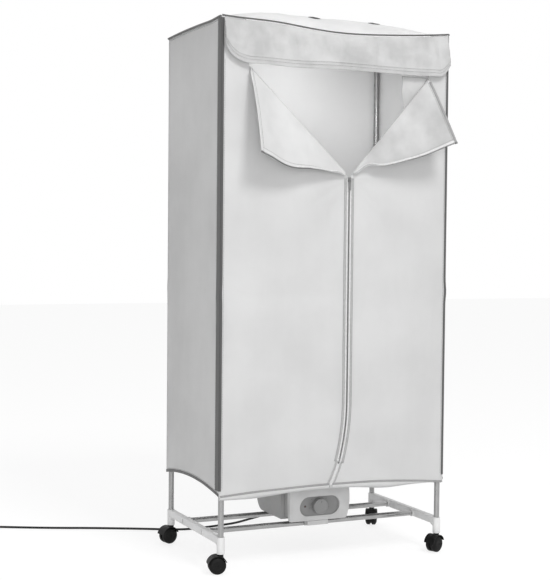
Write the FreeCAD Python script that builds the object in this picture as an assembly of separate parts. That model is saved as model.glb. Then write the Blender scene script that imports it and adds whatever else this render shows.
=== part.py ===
"""Fabric drying cabinet on casters: a folding steel frame, a zipped cloth cover and a warm-air unit.

Millimetres. +X is to the right of a person facing the zip, +Y is to the back, +Z is up.
The origin lies on the floor, midway between the four posts.
"""

import FreeCAD
import Part
import math
import os

V = FreeCAD.Vector
X_AXIS = V(1, 0, 0)
Y_AXIS = V(0, 1, 0)
Z_AXIS = V(0, 0, 1)
ORIGIN = V(0, 0, 0)
LEFT, RIGHT, FRONT, BACK = -1, 1, -1, 1
CORNERS = {
    "front_left": (LEFT, FRONT),
    "front_right": (RIGHT, FRONT),
    "back_left": (LEFT, BACK),
    "back_right": (RIGHT, BACK),
}

# ---- Frame -------------------------------------------------------------------------------------
post_pitch_x = 685.0  # between post centres, across
post_pitch_y = 395.0  # between post centres, front to back
tube_od = 16.0
tube_wall = 1.0
tube_slip = 0.15  # radial room of a tube in its socket
end_slip = 0.2  # room between a tube's end and the bottom of its socket
fitting_od = 19.0  # joiners, top corners and rail tees
joiner_z = 765.0
joiner_length = 50.0
joiner_web = 2.0
top_rail_z = 1490.0
corner_reach = 36.0  # from a post's centre to the mouth of a top corner
corner_core = 12.0  # solid middle of a top corner, from the post's centre
tee_y = 65.0
tee_length = 34.0
tee_core = 10.5

# ---- Feet --------------------------------------------------------------------------------------
socket_od = 22.0
socket_bottom = 54.0
socket_top = 100.0
post_seat = 76.0  # bottom of the post's socket
bar_width = 18.0
bar_bottom = 79.0
bar_top = 101.0
bar_round = 3.0
gusset_length = 34.0
gusset_drop = 12.0
gusset_width = 8.0
rail_z = 90.0
rail_pitch = 150.0
rail_socket_depth = 10.0
rail_boss_od = 21.0
rail_boss_length = 6.0
slot_width = 6.0
slot_height = 15.0
slot_depth = 3.0
screw_d = 3.0
screw_head_d = 5.4
screw_head_h = 1.8
screw_length = 12.0
screw_slip = 0.15
plug_length = 14.0

# ---- Casters -----------------------------------------------------------------------------------
wheel_r = 24.0
wheel_width = 14.5
wheel_dome = 5.5
wheel_hub_r = 9.0
caster_trail = 10.0
web_thickness = 5.0
web_r = 20.0
side_gap = 0.6  # between a wheel and the web
hood_inner_r = 25.0
hood_thickness = 2.2
hood_from = 20.0  # degrees above the front horizontal
hood_to = 170.0
caster_boss_r = 8.0
caster_neck = 0.8  # room between the caster and the foot
stem_d = 8.0
stem_slip = 0.08
stem_up = 17.5  # above the bottom of the foot
stem_down = 4.4
axle_d = 6.0
axle_slip = 0.08
press_slip = 0.02
caster_heading = {"front_left": 168.0, "front_right": 203.0, "back_left": 192.0, "back_right": 236.0}

# ---- Warm-air unit -----------------------------------------------------------------------------
unit_half_width = 100.0
unit_front = -64.0
unit_back = 110.0
unit_bottom = 103.0
unit_top = 236.0
unit_split = 152.0
unit_wall = 2.5
unit_back_round = 42.0
unit_top_round = 22.0
neck_inset = 9.0
neck_front = -98.0
fascia_thickness = 6.0
fascia_bulge = 12.0  # how far the face stands forward at its middle
fascia_wall = 3.0
fascia_rim = 14.0  # width of the flange that seats on the neck
fascia_flange = 2.0
fascia_half_width = 96.0
fascia_waist = 3.0  # how far the sides bulge
fascia_top = 226.0
fascia_drop = 3.0  # below the housing's underside
fascia_gap = 1.0  # over the clip's lip
fascia_round = 8.0
fascia_mouth_round = 2.0
pill_length = 128.0
pill_height = 57.0
pill_z = 143.5
pill_depth = -3.6  # from the fascia's top and bottom edges to the dial
pill_collar = 3.0
pill_ledge = 3.0  # width of the ledge behind the dial
pill_slip = 0.3
dial_thickness = 2.0
knob_d = 45.0
knob_length = 16.0
knob_gap = 1.0
knob_grip_d = 5.0
knob_grip_count = 18
knob_cup = 3.0
shaft_d = 6.0
shaft_slip = 0.08
timer_size = 44.0
timer_depth = 22.0
lamp_d = 5.0
lamp_x = -44.0
slot_count = 9
slot_pitch = 15.0
slot_gap = 6.5
outlet_length = 120.0
inlet_slot_length = 110.0
fan_y = 18.0
fan_r = 68.0
fan_hub_r = 18.0
fan_z = 150.0
fan_height = 24.0
blade_count = 7
blade_thickness = 2.2
blade_pitch = 28.0
motor_r = 24.0
motor_height = 30.0
motor_shaft_d = 5.0
bracket_width = 24.0
bracket_thickness = 3.0
bracket_post_r = 5.0
element_z = 188.0
element_width = 120.0
element_depth = 76.0
element_height = 16.0
element_fins = 15
element_frame_t = 3.0
ledge_width = 5.0
saddle_width = 66.0
saddle_depth = 24.0
saddle_bottom = 82.5
saddle_mouth = 13.0
front_saddle_lip = 16.0
front_saddle_step = 4.0  # how far the lip's underside is above the clip's
unit_screw_inset = 12.0
unit_boss_r = 5.0
unit_screw_grip = 14.0  # how far a housing screw reaches above the split

# ---- Mains lead --------------------------------------------------------------------------------
cord_d = 7.0
cord_z = 3.8  # centre of the lead where it lies on the floor
gland_x = 50.0
gland_z = 128.0
gland_length = 30.0
gland_root_d = 14.0
cord_route = [  # chosen by hand, from the gland to the coil
    (50.0, 140.0, 128.0),
    (50.0, 180.0, 128.0),
    (54.0, 226.0, 112.0),
    (60.0, 272.0, 80.0),
    (62.0, 318.0, 46.0),
    (46.0, 368.0, 20.0),
    (-8.0, 390.0, cord_z),
    (-66.0, 356.0, cord_z),
    (-122.0, 344.0, cord_z),
    (-178.0, 334.0, cord_z),
    (-238.0, 328.0, cord_z),
    (-292.0, 346.0, cord_z),
    (-352.0, 380.0, cord_z),
    (-436.0, 422.0, cord_z),
    (-524.0, 464.0, cord_z),
    (-612.0, 500.0, cord_z),
    (-708.0, 547.0, cord_z),
    (-803.0, 598.0, cord_z),
    (-861.0, 614.0, cord_z),
]
run_share = 0.45
coil_radius = 38.5  # middle of the turns
coil_pitch = 7.8  # between turns, across
coil_layer = 7.9  # between layers, up
coil_turns = 3.5
coil_lead = 9.0  # straight stretch at the coil's first end
coil_tail = 26.0
plug_body_d = 36.0
plug_body_length = 34.0
plug_neck_d = 14.0
plug_neck_length = 14.0
plug_pin_d = 4.8
plug_pin_length = 19.0
plug_pin_pitch = 19.0
plug_pin_root_d = 3.6
plug_pin_root = 8.0  # how deep a pin's root is set in the plug

# ---- Cloth cover -------------------------------------------------------------------------------
cloth = 1.5
cover_gap = 11.5  # from a post's centre to the outside of the cloth
cover_rise = 19.0  # the cover's corners above the middle of the top rails
hem_corner = 212.0
hem_side_arch = 20.0
hem_front_drop = 9.0  # the front hem's corners below the side hems' corners
hem_front_arch = 11.0
hem_back_arch = 6.0
roof_front_sag = 21.0
roof_crown = 50.0
roof_side_crown = 4.0
roof_back_sag = 4.0
front_bow = 8.0  # how far the front bulges at its middle
seam_gap = 0.3
binding_side = 26.0  # the corner binding's width on the side
binding_front = 6.0
binding_thickness = 1.0
piping_r = 2.6
hem_band = 8.0
header_height = 24.0
vent_x = 76.0
vent_span = 195.0
vent_y = -88.0
vent_r = 9.0

# ---- Front opening, zip and flaps --------------------------------------------------------------
zip_x = 30.0
zip_top = 1088.0
zip_bend = 460.0  # below this height the zip swings to the left
zip_bend_r = 647.0
zip_bottom = 283.0
zip_half = 2.5
zip_room = 3.2
zip_tape = 13.0
zip_tape_t = 0.8
zip_chain_t = 2.6
zip_chain_proud = 0.9
slider_width = 10.0
slider_height = 14.0
slider_t = 1.6
slider_gap = 0.35
bail_r = 2.6
bail_t = 1.4
pull_width = 7.0
pull_length = 30.0
pull_t = 1.4
pull_bar = 1.8
pull_arm = 1.9
pull_eye = 7.0
opening_left = (-275.0, 1379.0)
opening_right = (286.0, 1378.0)
head_left = -292.0
head_right = 300.0
valance_span = (-349.0, 351.0)
valance_top_drop = 3.6
valance_bottom = 1385.0
valance_stand = 12.0
valance_bow = 5.0
valance_gap = 1.7
valance_wave = 3.0
valance_corner = (62.0, 36.0)  # how far in the left and the right lower corner are rounded
valance_corner_rise = (72.0, 34.0)
flap_gap = (1.4, 0.95)  # left and right, from the cloth to the fold
flap_bow = 9.0
flap_left_tip = (-274.5, -300.0, 1148.0)
flap_right_tip = (320.5, -310.0, 1189.5)
flap_root = 16.0

# ---- Derived places ----------------------------------------------------------------------------
half_x = post_pitch_x / 2
half_y = post_pitch_y / 2
socket_r = tube_od / 2 + tube_slip
cover_top = top_rail_z + cover_rise
front_hem = hem_corner - hem_front_drop
cover_x = half_x + cover_gap
cover_y = half_y + cover_gap
bar_inner = half_x - bar_width / 2
rail_end = bar_inner + rail_socket_depth - end_slip
neck_half_width = unit_half_width - neck_inset
fascia_front = neck_front - fascia_thickness
fascia_bottom = unit_bottom - fascia_drop
dial_front = fascia_front + pill_depth


# ---- Small helpers -----------------------------------------------------------------------------
def block(x0, x1, y0, y1, z0, z1):
    """A box between two corners."""
    return Part.makeBox(x1 - x0, y1 - y0, z1 - z0, V(x0, y0, z0))


def rod(radius, start, axis, length):
    """A round bar from start along axis."""
    return Part.makeCylinder(radius, length, start, axis)


def tube(start, axis, length):
    """A length of the frame's steel tube."""
    return rod(tube_od / 2, start, axis, length).cut(
        rod(tube_od / 2 - tube_wall, start, axis, length)
    )


def prism(edges, direction):
    """The flat outline that the edges close, pushed along direction."""
    return Part.Face(Part.Wire(edges)).extrude(direction)


def polygon(points):
    """Straight edges through the points and back to the first."""
    return [
        Part.LineSegment(a, b).toShape()
        for a, b in zip(points, points[1:] + points[:1])
    ]


def arc(a, middle, b):
    """An arc through three points."""
    return Part.Arc(a, middle, b).toShape()


def line(a, b):
    """A straight edge."""
    return Part.LineSegment(a, b).toShape()


def fuse(shapes):
    """One clean solid from shapes that touch or overlap."""
    return shapes[0].multiFuse(shapes[1:]).removeSplitter()


def arch_height(position, half_span, rise):
    """Height of a circular arch of the given rise at a place along its span."""
    if abs(rise) < 1e-9:
        return 0.0
    radius = (half_span**2 + rise**2) / (2 * abs(rise))
    drop = radius - math.sqrt(radius**2 - position**2)
    return math.copysign(abs(rise) - drop, rise)


def save(name, *solids):
    """Write one node, made of one or more separate solids."""
    shape = solids[0] if len(solids) == 1 else Part.makeCompound(list(solids))
    if not shape.isValid():
        print("not valid:", name)
    shape.exportStep("parts/%s.step" % name)


# ---- Feet and base rails -----------------------------------------------------------------------
def gusset(side, end):
    """The rib that deepens the foot's bar where it meets a post socket."""
    y_socket = end * half_y
    y_far = end * (half_y - gusset_length)
    x = side * half_x - gusset_width / 2
    points = [
        V(x, y_socket, bar_bottom + bar_round),
        V(x, y_far, bar_bottom + bar_round),
        V(x, y_far, bar_bottom),
        V(x, y_socket, bar_bottom - gusset_drop),
    ]
    return prism(polygon(points), V(gusset_width, 0, 0))


def foot(side):
    """One plastic end leg: two post sockets, the bar between them and the rail sockets."""
    x = side * half_x
    bar = block(x - bar_width / 2, x + bar_width / 2, -half_y, half_y, bar_bottom, bar_top)
    long_edges = [e for e in bar.Edges if abs(e.Length - post_pitch_y) < 1e-6]
    pieces = [bar.makeFillet(bar_round, long_edges)]
    for end in (FRONT, BACK):
        start = V(x, end * half_y, socket_bottom)
        pieces.append(rod(socket_od / 2, start, Z_AXIS, socket_top - socket_bottom))
        pieces.append(gusset(side, end))
        boss = V(side * bar_inner, end * rail_pitch / 2, rail_z)
        pieces.append(rod(rail_boss_od / 2, boss, X_AXIS * -side, rail_boss_length))
    body = fuse(pieces)
    for end in (FRONT, BACK):
        y = end * half_y
        body = body.cut(rod(socket_r, V(x, y, post_seat), Z_AXIS, bar_top - post_seat + 1))
        stem_bore = stem_d / 2 + stem_slip
        body = body.cut(rod(stem_bore, V(x, y, socket_bottom), Z_AXIS, stem_up + 1))
        body = rail_socket(body, side, end * rail_pitch / 2)
    return body


def rail_socket(body, side, y):
    """Cut one rail socket, its screw hole and the slot that hides the screw's head."""
    mouth = V(side * (bar_inner - rail_boss_length - 1), y, rail_z)
    depth = rail_socket_depth + rail_boss_length + 1
    body = body.cut(rod(socket_r, mouth, X_AXIS * side, depth))
    body = body.cut(rod(screw_d / 2 + screw_slip, mouth, X_AXIS * side, depth + bar_width))
    outer = side * (half_x + bar_width / 2)
    x0, x1 = sorted((outer - side * slot_depth, outer + side))
    half = (slot_height - slot_width) / 2
    slot = block(x0, x1, y - slot_width / 2, y + slot_width / 2, rail_z - half, rail_z + half)
    ends = [rod(slot_width / 2, V(x0, y, rail_z + s * half), X_AXIS, x1 - x0) for s in (-1, 1)]
    return body.cut(fuse([slot] + ends))


def base_rail(end):
    """One of the two tubes that join the feet and carry the warm-air unit."""
    return tube(V(-rail_end, end * rail_pitch / 2, rail_z), X_AXIS, 2 * rail_end)


def rail_plug(side, end):
    """The threaded plug inside a base rail's end."""
    start = V(side * rail_end, end * rail_pitch / 2, rail_z)
    plug = rod(tube_od / 2 - tube_wall - press_slip, start, X_AXIS * -side, plug_length)
    return plug.cut(rod(screw_d / 2 + press_slip, start, X_AXIS * -side, plug_length))


def rail_screw(side, end):
    """The screw that pulls a base rail into its foot."""
    seat = V(side * (half_x + bar_width / 2 - slot_depth), end * rail_pitch / 2, rail_z)
    head = rod(screw_head_d / 2, seat, X_AXIS * side, screw_head_h)
    recess = rod(screw_d / 4, seat + X_AXIS * side * screw_head_h / 2, X_AXIS * side, screw_head_h)
    shank = rod(screw_d / 2, seat, X_AXIS * -side, screw_length)
    return fuse([head, shank]).cut(recess)


# ---- Posts and top frame -----------------------------------------------------------------------
def lower_post(side, end):
    """From the foot to the joiner."""
    bottom = post_seat + end_slip
    top = joiner_z - joiner_web / 2 - end_slip
    return tube(V(side * half_x, end * half_y, bottom), Z_AXIS, top - bottom)


def upper_post(side, end):
    """From the joiner to the top corner."""
    bottom = joiner_z + joiner_web / 2 + end_slip
    top = top_rail_z - corner_core - end_slip
    return tube(V(side * half_x, end * half_y, bottom), Z_AXIS, top - bottom)


def post_joiner(side, end):
    """The sleeve that joins two lengths of post, with a web between them."""
    x, y = side * half_x, end * half_y
    low = joiner_z - joiner_length / 2
    sleeve = rod(fitting_od / 2, V(x, y, low), Z_AXIS, joiner_length)
    half = (joiner_length - joiner_web) / 2
    sleeve = sleeve.cut(rod(socket_r, V(x, y, low), Z_AXIS, half))
    sleeve = sleeve.cut(rod(socket_r, V(x, y, joiner_z + joiner_web / 2), Z_AXIS, half))
    return sleeve.cut(rod(tube_od / 2 - 2 * tube_wall, V(x, y, low), Z_AXIS, joiner_length))


def top_corner(side, end):
    """The elbow that joins a post to its top side rail."""
    centre = V(side * half_x, end * half_y, top_rail_z)
    down = rod(fitting_od / 2, centre, Z_AXIS * -1, corner_reach)
    inward = rod(fitting_od / 2, centre, Y_AXIS * -end, corner_reach)
    knuckle = Part.makeSphere(fitting_od / 2, centre)
    body = fuse([down, inward, knuckle])
    depth = corner_reach - corner_core + 1
    body = body.cut(rod(socket_r, centre - Z_AXIS * corner_core, Z_AXIS * -1, depth))
    return body.cut(rod(socket_r, centre - Y_AXIS * end * corner_core, Y_AXIS * -end, depth))


def top_side_rail(side):
    """The tube between two top corners."""
    reach = half_y - corner_core - end_slip
    return tube(V(side * half_x, -reach, top_rail_z), Y_AXIS, 2 * reach)


def rail_tee(side, end):
    """The fitting that rides on a top side rail and holds a hanging rail."""
    centre = V(side * half_x, end * tee_y, top_rail_z)
    across = rod(fitting_od / 2, centre - Y_AXIS * tee_length / 2, Y_AXIS, tee_length)
    inward = rod(fitting_od / 2, centre, X_AXIS * -side, corner_reach)
    body = fuse([across, inward])
    body = body.cut(rod(socket_r, centre - Y_AXIS * tee_length, Y_AXIS, 2 * tee_length))
    mouth = centre - X_AXIS * side * tee_core
    return body.cut(rod(socket_r, mouth, X_AXIS * -side, corner_reach))


def hanging_rail(end):
    """The tube that the hangers hook over."""
    reach = half_x - tee_core - end_slip
    return tube(V(-reach, end * tee_y, top_rail_z), X_AXIS, 2 * reach)


# ---- Casters -----------------------------------------------------------------------------------
def place_caster(shape, name):
    """Turn a caster piece to its heading and put it under its post."""
    side, end = CORNERS[name]
    placed = shape.copy()
    placed.rotate(ORIGIN, Z_AXIS, caster_heading[name] - 180.0)
    placed.translate(V(side * half_x, end * half_y, 0))
    return placed


def caster_hood():
    """The swivelling middle of a caster: web, hood over the wheels and boss for the stem."""
    centre = V(-caster_trail, 0, wheel_r)
    half = web_thickness / 2 + side_gap + wheel_width
    outer = hood_inner_r + hood_thickness
    angles = [math.radians(d) for d in (hood_from, (hood_from + hood_to) / 2, hood_to)]
    far = [polar(centre, outer, a) - Y_AXIS * half for a in angles]
    near = [polar(centre, hood_inner_r, a) - Y_AXIS * half for a in angles]
    edges = [arc(*far), line(far[2], near[2]), arc(near[2], near[1], near[0]), line(near[0], far[0])]
    ring = prism(edges, V(0, 2 * half, 0))
    web = rod(web_r, centre - Y_AXIS * web_thickness / 2, Y_AXIS, web_thickness)
    rib = block(
        centre.x - web_r, centre.x + web_r, -web_thickness / 2, web_thickness / 2,
        wheel_r, wheel_r + hood_inner_r + hood_thickness / 2,
    )
    rib = rib.common(rod(outer, centre - Y_AXIS * half, Y_AXIS, 2 * half))
    boss_top = socket_bottom - caster_neck
    boss_low = wheel_r + web_r / 2
    boss = rod(caster_boss_r, V(0, 0, boss_low), Z_AXIS, boss_top - boss_low)
    boss = boss.cut(wheel_wells(centre, half))
    body = fuse([ring, web, rib, boss])
    body = body.cut(rod(axle_d / 2 + axle_slip, centre - Y_AXIS * half, Y_AXIS, 2 * half))
    stem_low = socket_bottom - stem_down
    return body.cut(rod(stem_d / 2 + press_slip, V(0, 0, stem_low), Z_AXIS, stem_down))


def wheel_wells(centre, half):
    """The room that the two wheels turn in."""
    wells = []
    for y0 in (-half - 1, web_thickness / 2):
        wells.append(rod(hood_inner_r, V(centre.x, y0, centre.z), Y_AXIS, half + 1 - web_thickness / 2))
    return Part.makeCompound(wells)


def polar(centre, radius, angle):
    """A place round a wheel's centre, in the wheel's plane."""
    return centre + V(radius * math.cos(angle), 0, radius * math.sin(angle))


def caster_stem():
    """The steel pin that turns in the foot."""
    return rod(stem_d / 2, V(0, 0, socket_bottom - stem_down), Z_AXIS, stem_down + stem_up)


def caster_wheel(side):
    """One wheel, with a flat tread and a domed outer face."""
    near = web_thickness / 2 + side_gap
    far = near + wheel_width
    shoulder = far - wheel_dome
    bore = axle_d / 2 + press_slip
    chamfer = 1.0
    mid_r = wheel_r - (wheel_r - wheel_hub_r) * 0.3
    mid_y = far - wheel_dome * 0.3
    edges = [
        line(V(bore, near, 0), V(wheel_r - chamfer, near, 0)),
        line(V(wheel_r - chamfer, near, 0), V(wheel_r, near + chamfer, 0)),
        line(V(wheel_r, near + chamfer, 0), V(wheel_r, shoulder, 0)),
        arc(V(wheel_r, shoulder, 0), V(mid_r, mid_y, 0), V(wheel_hub_r, far, 0)),
        line(V(wheel_hub_r, far, 0), V(bore, far, 0)),
        line(V(bore, far, 0), V(bore, near, 0)),
    ]
    wheel = Part.Face(Part.Wire(edges)).revolve(ORIGIN, Y_AXIS, 360)
    if side < 0:
        wheel = wheel.mirror(ORIGIN, Y_AXIS)
    wheel.translate(V(-caster_trail, 0, wheel_r))
    return wheel


def caster_axle():
    """The pin through the web and both wheels."""
    half = web_thickness / 2 + side_gap + wheel_width - 1.0
    return rod(axle_d / 2, V(-caster_trail, -half, wheel_r), Y_AXIS, 2 * half)


# ---- Warm-air unit -----------------------------------------------------------------------------
def unit_envelope(inset):
    """The unit's outer form, or its cavity when inset by the wall."""
    y0, y1 = unit_front + inset, unit_back - inset
    z0, z1 = unit_bottom + inset, unit_top - inset
    low_r, top_r = unit_back_round - inset, unit_top_round - inset
    diagonal = math.sqrt(0.5)
    x = -unit_half_width + inset
    edges = [
        line(V(x, y0, z0), V(x, y1 - low_r, z0)),
        arc(
            V(x, y1 - low_r, z0),
            V(x, y1 - low_r + low_r * diagonal, z0 + low_r - low_r * diagonal),
            V(x, y1, z0 + low_r),
        ),
        line(V(x, y1, z0 + low_r), V(x, y1, z1 - top_r)),
        arc(
            V(x, y1, z1 - top_r),
            V(x, y1 - top_r + top_r * diagonal, z1 - top_r + top_r * diagonal),
            V(x, y1 - top_r, z1),
        ),
        line(V(x, y1 - top_r, z1), V(x, y0, z1)),
        line(V(x, y0, z1), V(x, y0, z0)),
    ]
    main = prism(edges, V(-2 * x, 0, 0))
    w = neck_half_width - inset
    neck_top = fascia_top - neck_inset - inset
    neck = block(-w, w, neck_front, unit_front + 2 * inset + 1, z0 + neck_inset, neck_top)
    return fuse([main, neck])


def unit_shell():
    """The whole housing as one hollow shell, open at the front of the neck."""
    shell = unit_envelope(0).cut(unit_envelope(unit_wall))
    return shell


def grille_slots(length, z0, z1, y_middle):
    """A row of slots that lets air through the housing."""
    first = -(slot_count - 1) / 2
    slots = []
    for i in range(slot_count):
        x = (first + i) * slot_pitch
        slots.append(
            block(x - slot_gap / 2, x + slot_gap / 2, y_middle - length / 2, y_middle + length / 2, z0, z1)
        )
    return Part.makeCompound(slots)


def unit_corners():
    """Where the housing's four screws stand."""
    x = unit_half_width - unit_screw_inset
    rows = (unit_front + unit_screw_inset, unit_back - unit_back_round)
    return [V(side * x, y, 0) for side in (LEFT, RIGHT) for y in rows]


def heater_base():
    """The lower tray, with the air inlet, the screw bosses and the motor bracket's posts."""
    shell = unit_shell().common(block(-200, 200, -200, 200, unit_bottom - 1, unit_split))
    floor = unit_bottom + unit_wall
    extras = [rod(unit_boss_r, V(p.x, p.y, floor), Z_AXIS, unit_split - floor) for p in unit_corners()]
    for side in (LEFT, RIGHT):
        x = side * (unit_half_width - 2 * unit_screw_inset - bracket_post_r)
        extras.append(rod(bracket_post_r, V(x, fan_y, floor), Z_AXIS, bracket_floor() - floor))
    body = fuse([shell] + extras)
    body = body.cut(grille_slots(inlet_slot_length, unit_bottom - 1, floor + 1, fan_y))
    for p in unit_corners():
        body = body.cut(rod(screw_d / 2 + screw_slip, V(p.x, p.y, unit_bottom - 1), Z_AXIS, 100))
        sink = rod(screw_head_d / 2 + screw_slip, V(p.x, p.y, unit_bottom - 1), Z_AXIS, screw_head_h + 1.2)
        body = body.cut(sink)
    gland = V(gland_x, unit_back - 2 * unit_wall, gland_z)
    return body.cut(rod(gland_root_d / 2 - 2, gland, Y_AXIS, 4 * unit_wall))


def heater_cover():
    """The upper shell, with the air outlet and the ledges that hold the heating element."""
    shell = unit_shell().common(block(-200, 200, -200, 200, unit_split + seam_gap, unit_top + 1))
    low = unit_split + seam_gap
    extras = [rod(unit_boss_r, V(p.x, p.y, low), Z_AXIS, unit_top - low - unit_wall) for p in unit_corners()]
    inner = unit_half_width - unit_wall
    ledge = element_depth / 2
    for side in (LEFT, RIGHT):
        x0, x1 = sorted((side * inner, side * (inner - ledge_width)))
        extras.append(block(x0, x1, fan_y - ledge, fan_y + ledge, element_z - 6, element_z))
    body = fuse([shell] + extras)
    body = body.cut(grille_slots(outlet_length, unit_top - unit_wall - 1, unit_top + 1, fan_y))
    for p in unit_corners():
        body = body.cut(rod(screw_d / 2, V(p.x, p.y, low), Z_AXIS, unit_screw_grip))
    return body


def unit_screw(p):
    """One screw that holds the tray to the upper shell."""
    seat = unit_bottom + screw_head_h + 0.2
    head = rod(screw_head_d / 2, V(p.x, p.y, seat), Z_AXIS * -1, screw_head_h)
    length = unit_split - seat + unit_screw_grip - 2
    shank = rod(screw_d / 2 - press_slip, V(p.x, p.y, seat), Z_AXIS, length)
    return fuse([head, shank])


def pill_face(z, half_length, half_height, y, depth):
    """A stadium-shaped block that faces the front."""
    reach = half_length - half_height
    middle = block(-reach, reach, y, y + depth, z - half_height, z + half_height)
    ends = [rod(half_height, V(s * reach, y, z), Y_AXIS, depth) for s in (-1, 1)]
    return fuse([middle] + ends)


def fascia_outline(inset):
    """The front panel's outline, with rounded corners and slightly bulging sides."""
    x = fascia_half_width - fascia_waist - inset
    z0, z1 = fascia_bottom + inset, fascia_top - inset
    r = max(fascia_round - inset, fascia_mouth_round)
    c = r * (1 - math.sqrt(0.5))
    edges = []
    for s, first, last in ((RIGHT, z0, z1), (LEFT, z1, z0)):
        near, far = V(s * x, 0, first + s * r), V(s * x, 0, last - s * r)
        end = V(s * (x - r), 0, last)
        edges += [
            arc(V(s * (x - r), 0, first), V(s * (x - c), 0, first + s * c), near),
            arc(near, V(s * (x + fascia_waist), 0, (z0 + z1) / 2), far),
            arc(far, V(s * (x - c), 0, last - s * c), end),
            line(end, V(-end.x, 0, last)),
        ]
    return edges


def fascia_form(inset, back):
    """The front panel's full form, bowed forward, or its hollow when inset by the wall."""
    front = fascia_front + inset
    z0, z1 = fascia_bottom, fascia_top
    w = fascia_half_width
    side = [
        line(V(-w, back, z0), V(-w, front, z0)),
        arc(V(-w, front, z0), V(-w, front - fascia_bulge, (z0 + z1) / 2), V(-w, front, z1)),
        line(V(-w, front, z1), V(-w, back, z1)),
        line(V(-w, back, z1), V(-w, back, z0)),
    ]
    depth = fascia_thickness + fascia_bulge + 2
    outline = prism(fascia_outline(inset), V(0, depth, 0)).translated(V(0, back - depth, 0))
    return prism(side, V(2 * w, 0, 0)).common(outline)


def control_fascia():
    """The bowed front panel: a flange that seats on the neck and a collar round the dial plate."""
    front = fascia_front - fascia_bulge
    depth = dial_front + dial_thickness - front
    half_length, half_height = pill_length / 2, pill_height / 2
    outer = pill_face(
        pill_z, half_length + pill_collar, half_height + pill_collar, front, depth + pill_ledge
    )
    form = fascia_form(0, neck_front)
    hollow = fascia_form(fascia_wall, neck_front - fascia_flange)
    mouth = prism(fascia_outline(fascia_rim), V(0, fascia_flange + 1, 0))
    panel = form.cut([hollow, mouth.translated(V(0, neck_front - fascia_flange - 0.5, 0))])
    panel = panel.fuse(outer.common(form)).removeSplitter()
    opening = pill_face(pill_z, half_length, half_height, front - 1, depth + 1)
    back = pill_face(
        pill_z, half_length - pill_ledge, half_height - pill_ledge, front, depth + 2 * pill_ledge
    )
    return panel.cut([opening, back])


def dial_plate():
    """The dark plate behind the knob, set back in the fascia."""
    half_length, half_height = pill_length / 2 - pill_slip, pill_height / 2 - pill_slip
    plate = pill_face(pill_z, half_length, half_height, dial_front, dial_thickness)
    for x, radius in ((0, shaft_d / 2 + shaft_slip), (lamp_x, lamp_d / 2 + press_slip)):
        plate = plate.cut(rod(radius, V(x, dial_front - 1, pill_z), Y_AXIS, dial_thickness + 2))
    return plate


def power_lamp():
    """The small round lamp in the dial plate."""
    body = rod(lamp_d / 2, V(lamp_x, dial_front - 0.6, pill_z), Y_AXIS, dial_thickness + 6)
    flange = rod(lamp_d / 2 + 1.2, V(lamp_x, dial_front + dial_thickness, pill_z), Y_AXIS, 1.2)
    return fuse([body, flange])


def timer_knob():
    """The knob: a round cap with finger flutes, a shallow front and a pointer ridge."""
    back = dial_front - knob_gap
    knob = rod(knob_d / 2, V(0, back, pill_z), Y_AXIS * -1, knob_length)
    front_rim = [e for e in knob.Edges if abs(e.BoundBox.YMax - (back - knob_length)) < 1e-4]
    knob = knob.makeFillet(2.0, front_rim)
    step = 2 * math.pi / knob_grip_count
    flutes = []
    for i in range(knob_grip_count):
        a = (i + 0.5) * step
        r = knob_d / 2 + knob_grip_d / 2 - 0.9
        start = V(r * math.cos(a), back + 1, pill_z + r * math.sin(a))
        flutes.append(rod(knob_grip_d / 2, start, Y_AXIS * -1, knob_length - 3))
    knob = knob.cut(Part.makeCompound(flutes))
    front = back - knob_length
    pointer = block(-1.2, 1.2, front - 0.8, front + 1, pill_z + knob_d / 4, pill_z + knob_d / 2 - 2.5)
    knob = fuse([knob, pointer])
    bore = rod(shaft_d / 2 + press_slip, V(0, back + 1, pill_z), Y_AXIS * -1, knob_length - knob_cup)
    return knob.cut(bore)


def timer_shaft():
    """The timer's shaft, which turns with the knob."""
    front = dial_front - knob_gap - knob_length + knob_cup + 2
    return rod(shaft_d / 2, V(0, front, pill_z), Y_AXIS, timer_back() - 4 - front)


def timer_back():
    """The back face of the timer switch."""
    return dial_front + dial_thickness + timer_depth


def timer_switch():
    """The clockwork timer behind the dial plate."""
    h = timer_size / 2
    front = dial_front + dial_thickness
    body = block(-h, h, front, timer_back(), pill_z - h / 1.4, pill_z + h / 1.4)
    return body.cut(rod(shaft_d / 2 + shaft_slip, V(0, front - 1, pill_z), Y_AXIS, timer_depth - 2))


def bracket_floor():
    """Height of the underside of the motor bracket."""
    return unit_bottom + unit_wall + 5.0


def motor_bracket():
    """The strap that carries the motor across the air inlet."""
    x = unit_half_width - 2 * unit_screw_inset
    z = bracket_floor()
    return block(-x, x, fan_y - bracket_width / 2, fan_y + bracket_width / 2, z, z + bracket_thickness)


def fan_motor():
    """The motor and its shaft."""
    z = bracket_floor() + bracket_thickness
    can = rod(motor_r, V(0, fan_y, z), Z_AXIS, motor_height)
    rims = [e for e in can.Edges if e.Curve.TypeId == "Part::GeomCircle"]
    can = can.makeFillet(2.0, rims)
    top = z + motor_height
    shaft = rod(motor_shaft_d / 2, V(0, fan_y, top - 1), Z_AXIS, fan_z + fan_height - 3 - top)
    return fuse([can, shaft])


def fan_blade(index):
    """One pitched blade, from the hub to the rim."""
    reach = fan_r - fan_hub_r + 3
    chord = fan_height * 0.9 / math.cos(math.radians(90 - 2 * blade_pitch))
    root, half = fan_hub_r - 3, blade_thickness / 2
    blade = block(root, root + reach, -half, half, -chord / 2, chord / 2)
    blade.rotate(ORIGIN, X_AXIS, 90 - blade_pitch)
    blade.translate(V(0, 0, fan_z + fan_height / 2))
    blade.rotate(ORIGIN, Z_AXIS, 360.0 * index / blade_count)
    blade.translate(V(0, fan_y, 0))
    return blade


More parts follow.
